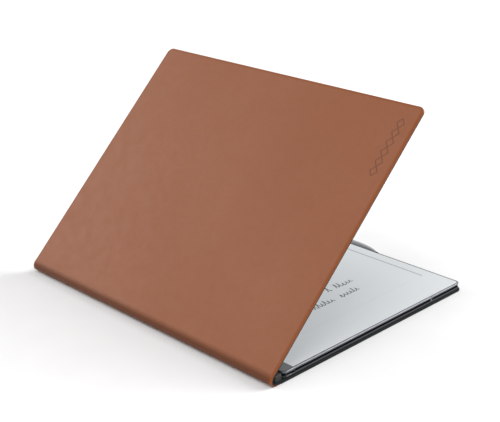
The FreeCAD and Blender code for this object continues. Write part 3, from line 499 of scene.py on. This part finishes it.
def merged(*runs):
    """Sorted numbers from several runs, without near doubles."""
    kept = []
    for number in sorted(n for run in runs for n in run):
        if not kept or number - kept[-1] > NEAR_DOUBLE:
            kept.append(number)
    return kept


def smooth(share):
    """Eases a 0 to 1 share at both ends."""
    return share * share * (3 - 2 * share)


def share_of(value, start, end):
    """How far a value lies from start to end, from 0 to 1."""
    return min(1.0, max(0.0, (value - start) / (end - start)))


def quarter_round(radius, steps):
    """(inset, depth) pairs round a quarter turn, from the outer face to the edge."""
    angles = [math.pi / 2 * i / steps for i in range(steps + 1)]
    return [(radius * (1 - math.sin(angle)), radius * (1 - math.cos(angle))) for angle in angles]


def swollen(place):
    """The spine's sheets belly outwards between the two folds, most at the height of the bar inside."""
    up = smooth(share_of(place.y, 0.0, SWELL_FULL_AT)) * (1 - smooth(share_of(place.y, *SWELL_FADES)))
    near = 1 - smooth(share_of(place.x - SPINE_X, *SWELL_REACH))
    return Vector((place.x - SWELL * up * near, place.y))


def bent_sheet(name, bend, stations, shares, profile, material, inset=0.0, relief=None, fold=None):
    """A closed sheet that follows a bend, with two round corners at its free end.

    stations: distances along the bend where the sheet has a row of points, up to its corners.
    shares: places across the sheet, from 0 at its near side to 1 at its far side.
    profile: for a distance along, (inset, depth) pairs round the edge, from the outer to the inner face.
    inset: how far the whole sheet stays inside the folio's outline.
    relief: for a distance along and a place in Y, how far the outer face is pressed in, from 0 to 1.
    fold: for a distance along, how much painted shade darkens the leather's colour, from 0 to 1.
    """
    half = (FAR_Y - NEAR_Y) / 2 - inset
    centre = (FAR_Y + NEAR_Y) / 2
    radius = CORNER_RADIUS - inset
    corner = bend.length - radius
    rows = [(s, 0.0) for s in stations if s < corner]
    rows += [(corner, math.pi / 2 * i / CORNER_STEPS) for i in range(CORNER_STEPS + 1)]
    work = bmesh.new()
    edge_layer = work.verts.layers.float.new("edge")
    pressed_layer = work.verts.layers.float.new("pressed")
    fold_shade_layer = work.verts.layers.float.new("fold")

    def add(along, y, depth, edge, pressed=0.0):
        point, outward = bend.at(along)
        place = swollen(point - outward * depth)
        vert = work.verts.new((place.x, y, place.y))
        vert[edge_layer] = edge
        vert[pressed_layer] = pressed
        # painted shade carried in the fold mask
        vert[fold_shade_layer] = fold(along) if fold else 0.0
        return vert

    def outline(row, offset):
        along, angle = row
        if angle == 0.0:
            return along, half - offset
        tip = radius - offset
        return along + tip * math.sin(angle), half - radius + tip * math.cos(angle)

    loops = []
    count = len(profile(0.0))
    for step in range(count):
        loop = []
        for row in rows:
            offset, depth = profile(row[0])[step]
            along, reach = outline(row, offset)
            edge = 1.0 - smooth(share_of(offset, EDGE_FULL, EDGE_FADE))
            near = add(along, centre - reach, depth, edge)
            far = add(along, centre + reach, depth, edge)
            inside = []
            if row is rows[-1] or step in (0, count - 1):
                for share in shares[1:-1]:
                    y = centre - reach + 2 * reach * share
                    press = relief(along, y) if relief and step == 0 else 0.0
                    side = edge if row is rows[-1] else 0.0
                    inside.append(add(along, y, depth + press * RELIEF_DEPTH, side, press))
            loop.append([near, *inside, far])
        loops.append(loop)
    skin_sheet(work, loops)
    return finished(name, work, material)


def skin_sheet(work, loops):
    """Faces over a sheet's two sides, round its edge and across its start."""
    outer, inner = loops[0], loops[-1]
    rows, columns = range(len(outer) - 1), range(len(outer[0]) - 1)

    def quad(a, b, c, d):
        work.faces.new((a, b, c, d))

    for i in rows:
        for j in columns:
            quad(outer[i][j], outer[i][j + 1], outer[i + 1][j + 1], outer[i + 1][j])
            quad(inner[i][j], inner[i + 1][j], inner[i + 1][j + 1], inner[i][j + 1])
    for upper, lower in zip(loops, loops[1:]):
        for i in rows:
            quad(upper[i][0], upper[i + 1][0], lower[i + 1][0], lower[i][0])
            quad(upper[i + 1][-1], upper[i][-1], lower[i][-1], lower[i + 1][-1])
        for j in columns:
            quad(upper[-1][j], upper[-1][j + 1], lower[-1][j + 1], lower[-1][j])
    for j in columns:
        quad(outer[0][j + 1], outer[0][j], inner[0][j], inner[0][j + 1])
    work.faces.new([loop[0][0] for loop in loops])
    work.faces.new([loop[0][-1] for loop in reversed(loops)])
    bmesh.ops.recalc_face_normals(work, faces=work.faces)


def join_rings(work, rings):
    """Faces from each closed ring of points to the next, and from the last back to the first."""
    for first, second in zip(rings, rings[1:] + rings[:1]):
        for i in range(len(first)):
            j = (i + 1) % len(first)
            work.faces.new((first[i], first[j], second[j], second[i]))
    bmesh.ops.recalc_face_normals(work, faces=work.faces)


def finished(name, work, material, angle=50):
    """An object with a smooth mesh, sharp only where its faces meet at more than an angle."""
    mesh = bpy.data.meshes.new(name)
    work.to_mesh(mesh)
    work.free()
    mesh.materials.append(material)
    mesh.shade_smooth()
    mesh.set_sharp_from_angle(angle=math.radians(angle))
    piece = bpy.data.objects.new(name, mesh)
    bpy.context.scene.collection.objects.link(piece)
    return piece


def between(profile_a, profile_b, share):
    """A profile part of the way from one to another."""
    ease = smooth(share)
    return [
        (oa + (ob - oa) * ease, da + (db - da) * ease)
        for (oa, da), (ob, db) in zip(profile_a, profile_b)
    ]


def turned_edge(rounding, depth, lip, skin):
    """A profile that rounds over, drops to a depth, and steps back up to the skin's own thickness."""
    points = [(EDGE_FADE, 0.0), (rounding * 1.5, 0.0), *quarter_round(rounding, 5)]
    under = min(rounding * 0.3, (depth - rounding) * 0.5 + 0.02 * MM)
    points += [(0.0, depth - under), (under * 0.3, depth - under * 0.3), (under, depth)]
    points += [(lip, depth), (lip + 0.05 * MM, skin)]
    return points


# the pressed mark near the cover's free corner: a chain of lozenges
MARK_END_GAP = 11.4 * MM
MARK_LINKS = 6
MARK_PERIOD = 7.4 * MM
MARK_LEVEL = 11.3 * MM
MARK_HALF = 2.9 * MM
STROKE = 0.85 * MM
STROKE_WALL = 0.3 * MM
MARK_MESH = 0.22 * MM
MARK_RIM = 1 * MM


def lozenge_mark(from_end, y):
    """1 on the mark's strokes, and 0 away from them."""
    along = from_end - MARK_END_GAP
    if not 0 <= along <= MARK_LINKS * MARK_PERIOD:
        return 0.0
    phase = along / MARK_PERIOD % 1.0
    height = MARK_HALF * (1 - abs(2 * phase - 1))
    slope = math.atan(2 * MARK_HALF / MARK_PERIOD)
    gap = abs(abs(y - NEAR_Y - MARK_LEVEL) - height) * math.cos(slope)
    return 1.0 - smooth(share_of(gap, STROKE / 2 - STROKE_WALL / 2, STROKE / 2 + STROKE_WALL / 2))


FRONT_ROUNDING = 0.9 * MM
COVER_SKIN = 0.6 * MM
COVER_WRAP_DEPTH = 1.2 * MM
COVER_LINING = 0.8 * MM
SPINE_SKIN = 1.0 * MM
OUTER_BEND = 5.5 * MM
INNER_BEND = 3.3 * MM
LOW_BEND = 4.0 * MM
LOW_INNER_BEND = 2.6 * MM
LIP = 1.1 * MM
SPINE_ROUNDING = 0.45 * MM
BACK_ROUNDING = 0.35 * MM


def flat_point(vector):
    """A point's place in the XZ plane."""
    return Vector((vector.x, vector.z))


def cover_line(height):
    """Where a plane of the front cover meets the spine's faces, and where it ends."""
    base = flat_point(HIGH_FOLD) + COVER_UP * height

    def at_x(x):
        return base + COVER_OUT * ((x - base.x) / COVER_OUT.x)

    return at_x, base + COVER_OUT * COVER_REACH


def make_front_leather(material):
    """The skin of the front cover and of the spine above its seam, with the pressed mark."""
    at_x, end = cover_line(COVER_HALF)
    start = Vector((SPINE_X, SEAM_LEVEL))
    bend = Bend(start, at_x(SPINE_X), end, OUTER_BEND, 1)
    cover = turned_edge(FRONT_ROUNDING, COVER_WRAP_DEPTH, LIP, COVER_SKIN)
    spine = turned_edge(SPINE_ROUNDING, SPINE_SKIN, LIP, SPINE_SKIN)
    arc_end = bend.before + bend.arc

    def profile(along):
        return between(spine, cover, share_of(along, bend.before * 0.3, arc_end + 1.0 * MM))

    mark_end = bend.length - MARK_END_GAP
    mark_start = mark_end - MARK_LINKS * MARK_PERIOD
    mark_foot, mark_head = MARK_LEVEL - MARK_HALF, MARK_LEVEL + MARK_HALF
    along_mark = spaced(mark_start - MARK_RIM, mark_end + MARK_RIM, MARK_MESH)
    across_mark = spaced(mark_foot - MARK_RIM, mark_head + MARK_RIM, MARK_MESH)
    fine_end = arc_end + 2 * MM
    stations = merged(spaced(0, fine_end, 0.3 * MM), spaced(fine_end, bend.length, 5 * MM), along_mark)
    width = FAR_Y - NEAR_Y
    inner_width = width - 2 * EDGE_FADE
    places = merged(spaced(EDGE_FADE, width - EDGE_FADE, 6 * MM), across_mark)
    shares = [(y - EDGE_FADE) / inner_width for y in places]

    def relief(along, y):
        return lozenge_mark(bend.length - along, y)

    # painted shade: the leather's colour is darkest on the lower spine wall and fades out just past the upper bend
    def fold(along):
        return 1 - smooth(share_of(along, bend.before * 0.5, arc_end + 1.2 * MM))

    piece = bent_sheet("front_leather", bend, stations, shares, profile, material, relief=relief, fold=fold)
    across_high_fold(piece)
    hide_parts("front_cover_leather", "spine_leather")


def make_front_lining(material):
    """The lining of the front cover and of the spine's inside."""
    at_x, end = cover_line(-COVER_HALF)
    end = end - COVER_OUT * LINING_INSET
    start = Vector((SPINE_INNER_X, SEAM_LEVEL))
    bend = Bend(start, at_x(SPINE_INNER_X), end, INNER_BEND, -1)
    cover = rounded_edge(LINING_ROUNDING, COVER_LINING)
    spine = rounded_edge(LINING_ROUNDING, FOLD_LINING)
    arc_end = bend.before + bend.arc

    def profile(along):
        return between(spine, cover, share_of(along, bend.before * 0.5, arc_end))

    fine_end = arc_end + 1 * MM
    stations = merged(spaced(0, fine_end, 0.3 * MM), spaced(fine_end, bend.length, 6 * MM))
    piece = bent_sheet("front_lining", bend, stations, spaced(0, 1, 0.03), profile, material, LINING_INSET)
    across_high_fold(piece)
    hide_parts("front_cover_lining", "spine_lining", "spine_board")


def rounded_edge(rounding, depth):
    """A profile that rounds over and drops to a depth."""
    return [(rounding * 1.6, 0.0), *quarter_round(rounding, 4), (0.0, depth)]


def make_back_leather(material):
    """The skin under the back cover and of the spine below its seam."""
    start = Vector((SPINE_X, SEAM_LEVEL))
    bend = Bend(start, Vector((SPINE_X, 0.0)), Vector((BACK_EDGE_X, 0.0)), LOW_BEND, -1)
    cover = turned_edge(BACK_ROUNDING, BACK_LEATHER_TOP, LIP, BACK_LEATHER_TOP)
    spine = turned_edge(SPINE_ROUNDING, SPINE_SKIN, LIP, SPINE_SKIN)
    arc_end = bend.before + bend.arc

    def profile(along):
        return between(spine, cover, share_of(along, bend.before, arc_end + 0.5 * MM))

    # painted shade: the leather's colour is darkest on the spine and round the lower bend, and half as dark beyond
    # it
    def fold(along):
        return 1.0 - 0.5 * share_of(along, arc_end, arc_end + 4 * MM)

    fine_end = arc_end + 2 * MM
    stations = merged(spaced(0, fine_end, 0.25 * MM), spaced(fine_end, bend.length, 6 * MM))
    piece = bent_sheet("back_leather", bend, stations, spaced(0, 1, 0.03), profile, material, fold=fold)
    across_low_fold(piece)
    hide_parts("back_cover_leather")


SKIRT = 0.10 * MM
SKIRT_DEPTH = 1.30 * MM
SKIRT_RUN = 6 * MM
BACK_SHEET = 0.3 * MM
SKIRT_GAP = 0.01 * MM


def make_back_lining(material):
    """The lining's edge wraps down over the board and the leather on the back cover's three free sides."""
    start = Vector((SPINE_INNER_X, SEAM_LEVEL))
    corner = Vector((SPINE_INNER_X, BACK_LINING_TOP))
    bend = Bend(start, corner, Vector((BACK_EDGE_X, BACK_LINING_TOP)), LOW_INNER_BEND, 1)
    arc_end = bend.before + bend.arc

    def profile(along):
        thin = smooth(share_of(along, bend.before, arc_end + 0.8 * MM))
        wrap = smooth(share_of(along, arc_end, arc_end + SKIRT_RUN))
        out = LINING_INSET + (-SKIRT - LINING_INSET) * wrap
        inside = out + SKIRT - SKIRT_GAP
        foot = FOLD_LINING + (SKIRT_DEPTH - FOLD_LINING) * wrap
        under = FOLD_LINING + (BACK_SHEET - FOLD_LINING) * thin
        points = [(out + LINING_ROUNDING * 2, 0.0)]
        points += [(out + inward, depth) for inward, depth in quarter_round(LINING_ROUNDING, 4)]
        points += [(out, foot - 0.06 * MM), (out + 0.04 * MM, foot), (inside, foot + 0.001 * MM)]
        points.append((inside + 0.003 * MM, min(under + 0.002 * MM, foot - 0.01 * MM)))
        points.append((inside + 0.02 * MM, under))
        return points

    fine_end = arc_end + 1 * MM
    stations = merged(
        spaced(0, fine_end, 0.2 * MM),
        spaced(fine_end, arc_end + SKIRT_RUN, 0.5 * MM),
        spaced(arc_end + SKIRT_RUN, bend.length, 6 * MM),
    )
    piece = bent_sheet("back_lining", bend, stations, spaced(0, 1, 0.03), profile, material)
    across_low_fold(piece)
    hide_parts("back_cover_lining")


def across_high_fold(piece):
    """Bakes the sheet's placement into its mesh."""
    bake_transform(piece)


def across_low_fold(piece):
    """Bakes the sheet's placement into its mesh."""
    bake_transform(piece)


# ---------------------------------------------------------------- what the page shows

GLASS_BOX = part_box("cover_glass")
FRAME_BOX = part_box("side_frame")
INK_LIFT = 0.012 * MM
INK_THICKNESS = 0.01 * MM


def on_page(x, y):
    """A place on the screen, in mm from the tablet's spine-side near corner."""
    return FRAME_BOX[0].x + x * MM, FRAME_BOX[0].y + y * MM


def ribbon(work, points, width):
    """A flat line of ink through some points of the page, with square ends."""
    z = GLASS_BOX[1].z + INK_LIFT
    left, right = [], []
    for i, point in enumerate(points):
        before, after = points[max(i - 1, 0)], points[min(i + 1, len(points) - 1)]
        heading = (after - before).normalized()
        normal = Vector((-heading.y, heading.x)) * width * MM / 2
        for side, place in ((left, point + normal), (right, point - normal)):
            side.append([work.verts.new((place.x, place.y, z + lift)) for lift in (0.0, INK_THICKNESS)])
    for i in range(len(points) - 1):
        a, b, c, d = left[i], left[i + 1], right[i + 1], right[i]
        work.faces.new((a[1], d[1], c[1], b[1]))
        work.faces.new((a[0], b[0], c[0], d[0]))
        work.faces.new((a[0], a[1], b[1], b[0]))
        work.faces.new((d[0], c[0], c[1], d[1]))
    for i, order in ((0, 1), (-1, -1)):
        end = (left[i][0], right[i][0], right[i][1], left[i][1])
        work.faces.new(end[::order])


def ink_piece(name, work, material):
    """Ink that moves with the tablet."""
    piece = finished(name, work, material)
    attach(piece, "tablet")


# ruled lines: start, end and width, in mm on the page
SIDE_LINE = ((177.0, 26.5), (177.0, 236.0), 1.15)
FOOT_LINE = ((45.0, 26.7), (160.0, 26.7), 0.30)


def ruled(work, start, end, width):
    ribbon(work, [Vector(on_page(*start)).to_2d(), Vector(on_page(*end)).to_2d()], width)


def make_page_guides():
    """Two ruled lines: one along the writing area's free side, and a thin faint one across its foot."""
    work = bmesh.new()
    ruled(work, *SIDE_LINE)
    ink_piece("page_side_line", work, ink("side_line_ink", (0.36, 0.38, 0.39)))
    work = bmesh.new()
    ruled(work, *FOOT_LINE)
    ink_piece("page_foot_line", work, ink("foot_line_ink", (0.60, 0.625, 0.64)))


def ink(name, colour):
    return grained(name, colour, 0.5, specular=0.3, grain=5200.0, depth=0.003)


# lines of notes: the height of a line's foot, then each word's start and number of strokes, in mm
NOTES = (
    (81.0, ((24, 6), (53, 3), (70, 4))),
    (68.8, ((24, 4), (45, 5), (69, 2), (82, 5))),
    (56.8, ((24, 6), (52, 4), (74, 5), (107, 1), (116, 5))),
    (44.3, ((24, 4), (45, 6), (79, 6), (107, 6))),
)
LETTER_WIDTH = 3.5
LETTER_SLANT = 0.18
LETTER_STEPS = 16
PEN_WIDTH = (0.62, 0.74)


def make_page_scribbles():
    """Lines of loose pen waves that look like notes from afar and spell nothing."""
    pen = random.Random(11)
    work = bmesh.new()
    for foot, words in NOTES:
        for start, strokes in words:
            ribbon(work, scribble(pen, start, foot, strokes), pen.uniform(*PEN_WIDTH))
    ink_piece("page_scribbles", work, ink("pen_ink", (0.095, 0.105, 0.110)))


def scribble(pen, start, foot, strokes):
    """One word's pen line: waves and small loops, with a tall or a hanging stroke now and then."""
    x = start
    points = []
    heights = [pen.choice((3.0, 3.4, 3.8, 6.0)) for _ in range(strokes)]
    for height in heights:
        width = LETTER_WIDTH * pen.uniform(0.85, 1.12)
        loop = pen.uniform(0.25, 0.85)
        hang = pen.choice((0.0, 0.0, 0.0, 2.2))
        for i in range(LETTER_STEPS):
            turn = i / LETTER_STEPS * math.tau
            lift = (1 - math.cos(turn)) / 2 * height
            drop = hang * max(0.0, -math.sin(turn)) ** 2
            sway = math.sin(turn) * loop
            across = x + width * i / LETTER_STEPS + sway + (lift - drop) * LETTER_SLANT
            points.append((across, foot + lift - drop))
        x += width
    points.append((x + 0.6, foot + 0.5))
    return [Vector(on_page(*point)).to_2d() for point in points]


# ---------------------------------------------------------------- the seam round the screen

CORNER_OF_GLASS = 2.8 * MM

# the bead's section: distance inside the glass's edge, and height over the glass
BEAD_SECTION = (
    (-0.06 * MM, -0.05 * MM),
    (-0.06 * MM, 0.006 * MM),
    (0.08 * MM, 0.022 * MM),
    (0.22 * MM, 0.006 * MM),
    (0.22 * MM, -0.02 * MM),
)


def make_screen_gasket(material):
    """A thin dark bead that fills the seam between the rim and the glass."""
    low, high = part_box("cover_glass")
    band_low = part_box("left_band")[0]
    work = bmesh.new()
    rings = []
    for inset, lift in BEAD_SECTION:
        outline = rounded_outline(band_low.x, high.x, low.y, high.y, CORNER_OF_GLASS, inset)
        rings.append([work.verts.new((place.x, place.y, high.z + lift)) for place in outline])
    join_rings(work, rings)
    piece = finished("screen_gasket", work, material)
    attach(piece, "tablet")


def rounded_outline(x0, x1, y0, y1, radius, inset):
    """Points round a rectangle with round corners, a distance inside it."""
    tip = radius - inset
    points = []
    for cx, cy, first in ((x1, y1, 0), (x0, y1, 1), (x0, y0, 2), (x1, y0, 3)):
        sx, sy = (1 if cx == x1 else -1), (1 if cy == y1 else -1)
        middle = Vector((cx - sx * (inset + tip), cy - sy * (inset + tip)))
        for i in range(9):
            angle = math.pi / 2 * (first + i / 8)
            points.append(middle + Vector((math.cos(angle), math.sin(angle))) * tip)
    return points


# ---------------------------------------------------------------- socket contacts

CONTACTS = 12
CONTACT_PITCH = 0.5 * MM
CONTACT_WIDTH = 0.25 * MM
CONTACT_LENGTH = 2.6 * MM
CONTACT_LIFT = 0.04 * MM
CONTACT_START = 0.5 * MM
CONTACT_BEVEL = 0.015 * MM


def make_socket_contacts(material):
    """Two rows of small gold strips on the charging socket's tongue."""
    low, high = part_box("usb_tongue")
    work = bmesh.new()
    first = (low.x + high.x) / 2 - CONTACT_PITCH * (CONTACTS - 1) / 2
    start = low.y + CONTACT_START
    for face, turn in ((high.z, 1), (low.z, -1)):
        for number in range(CONTACTS):
            bmesh.ops.create_cube(work, size=1.0)
            for vert in work.verts[-8:]:
                vert.co.x = first + CONTACT_PITCH * number + vert.co.x * CONTACT_WIDTH
                vert.co.y = start + (vert.co.y + 0.5) * CONTACT_LENGTH
                vert.co.z = face + (vert.co.z * CONTACT_LIFT * 2) * turn
    bmesh.ops.bevel(work, geom=work.edges[:], offset=CONTACT_BEVEL, segments=1, affect="EDGES")
    piece = finished("socket_contacts", work, material, 30)
    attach(piece, "tablet")


# ---------------------------------------------------------------- trim round the socket's mouth

TRIM_WIDTH = 0.26 * MM
TRIM_LENGTH = 1.6 * MM
PORT_WALL = 0.2 * MM
MOUTH_STEPS = 14

# the sleeve's section: how far outside the slot's wall, and how deep behind the frame's end face
TRIM_SECTION = (
    (-0.01 * MM, 0.62 * MM),
    (-0.01 * MM, 0.10 * MM),
    (-0.08 * MM, 0.02 * MM),
    (-TRIM_WIDTH + 0.06 * MM, 0.02 * MM),
    (-TRIM_WIDTH, 0.10 * MM),
    (-TRIM_WIDTH, TRIM_LENGTH),
    (-0.01 * MM, TRIM_LENGTH),
)


def mouth_outline(low, high, grow):
    """Points round a slot with round ends, in the XZ plane."""
    middle = (low.z + high.z) / 2
    round_end = (high.z - low.z) / 2
    points = []
    for x, first in ((high.x - round_end, -math.pi / 2), (low.x + round_end, math.pi / 2)):
        for i in range(MOUTH_STEPS + 1):
            angle = first + math.pi * i / MOUTH_STEPS
            reach = round_end + grow
            points.append(Vector((x + reach * math.cos(angle), middle + reach * math.sin(angle))))
    return points


def make_socket_trim(material):
    """A bright bevelled sleeve that lines the slot, just behind the frame's end face."""
    shell_low, shell_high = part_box("usb_connector_shell")
    low = Vector((shell_low.x + PORT_WALL, 0.0, shell_low.z + PORT_WALL))
    high = Vector((shell_high.x - PORT_WALL, 0.0, shell_high.z - PORT_WALL))
    face = FRAME_BOX[0].y
    work = bmesh.new()
    rings = []
    for grow, deep in TRIM_SECTION:
        outline = mouth_outline(low, high, grow)
        rings.append([work.verts.new((point.x, face + deep, point.y)) for point in outline])
    join_rings(work, rings)
    piece = finished("socket_trim", work, material, 30)
    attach(piece, "tablet")


# ---------------------------------------------------------------- stylus

ROUND_STEPS = 72
SHELL_WALL = 0.65 * MM
JOINT_LINE = 0.12 * MM
NOSE_STEPS = 40
NOSE_REACH = 20.3 * MM
NOSE_SPACING = 1.6
NIB_HOLE = 0.86 * MM
WIDE_HOLE = NIB_HOLE * 2.2
WIDE_HOLE_DEPTH = 9 * MM
NIB_HOLE_DEPTH = 11 * MM
CAP_ROUNDING = 1.4 * MM
CAP_FLOOR = 1.2 * MM
CAP_DIMPLE = 0.02 * MM
PLUG_LENGTH = 4 * MM
PLUG_GAP = 0.05 * MM
PLUG_WALL = 0.9 * MM


def lathe(name, axis_x, axis_z, outline, material):
    """A closed turned piece along Y from (y, radius) pairs."""
    work = bmesh.new()
    angles = [math.tau * i / ROUND_STEPS for i in range(ROUND_STEPS)]
    rings = []
    for y, radius in outline:
        circle = [(axis_x + radius * math.cos(turn), y, axis_z + radius * math.sin(turn)) for turn in angles]
        rings.append([work.verts.new(point) for point in circle])
    join_rings(work, rings)
    return finished(name, work, material, 35)


def nose_outline(low, high, radius):
    """The nose narrows towards the nib along part of an ellipse, round a stepped hole."""
    outline = []
    for i in range(NOSE_STEPS + 1):
        y = low + (high - low) * (i / NOSE_STEPS) ** NOSE_SPACING
        outline.append((y, radius * math.sqrt(max(0.0, 1 - ((high - y) / NOSE_REACH) ** 2))))
    outline[-1:] = [(high - JOINT_LINE, radius), (high, radius - JOINT_LINE)]
    outline += [(high, WIDE_HOLE), (high - WIDE_HOLE_DEPTH, WIDE_HOLE)]
    return outline + [(high - NIB_HOLE_DEPTH, NIB_HOLE), (low, NIB_HOLE)]


def barrel_outline(low, high, radius, bore):
    """A straight tube with its two ends broken by a fine chamfer."""
    outline = [(low, bore), (low, radius - JOINT_LINE), (low + JOINT_LINE, radius)]
    return outline + [(high - JOINT_LINE, radius), (high, radius - JOINT_LINE), (high, bore)]


def cap_outline(joint, end, radius, bore):
    """A hollow cap with a round end, and a plug that reaches into the barrel."""
    outline = [(joint - PLUG_LENGTH, bore - PLUG_WALL), (joint - PLUG_LENGTH, bore - PLUG_GAP)]
    outline += [(joint, bore - PLUG_GAP), (joint, radius - JOINT_LINE), (joint + JOINT_LINE, radius)]
    outline += [(end - back, radius - inward) for back, inward in quarter_round(CAP_ROUNDING, 8)]
    return outline + [(end, CAP_DIMPLE), (end - CAP_FLOOR, CAP_DIMPLE), (end - CAP_FLOOR, bore - PLUG_WALL)]


def make_stylus(material):
    """The nose, barrel and cap as turned shells with a fine joint line between them."""
    low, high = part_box("marker_barrel")
    nose_low, nose_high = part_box("marker_nose")
    cap_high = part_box("marker_end_cap")[1]
    axis_x, axis_z = (low.x + high.x) / 2, (low.z + high.z) / 2
    radius = (high.x - low.x) / 2
    bore = radius - SHELL_WALL
    nose = nose_outline(nose_low.y, nose_high.y, radius)
    barrel = barrel_outline(low.y, high.y, radius, bore)
    cap = cap_outline(high.y, cap_high.y, radius, bore)
    for name, outline, node in (
        ("stylus_nose", nose, "marker_nose"),
        ("stylus_barrel", barrel, "marker_barrel"),
        ("stylus_cap", cap, "marker_end_cap"),
    ):
        piece = lathe(name, axis_x, axis_z, outline, material)
        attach(piece, "marker")
        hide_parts(node)


# ---------------------------------------------------------------- make everything

make_camera()
make_stage()
materials = make_materials()
dress_cad(materials)
make_front_leather(materials["leather"])
make_front_lining(materials["lining"])
make_back_leather(materials["leather"])
make_back_lining(materials["lining"])
make_page_guides()
make_page_scribbles()
make_screen_gasket(materials["gasket"])
make_socket_contacts(materials["gold_contact"])
make_socket_trim(materials["port_trim"])
make_stylus(materials["marker_shell"])
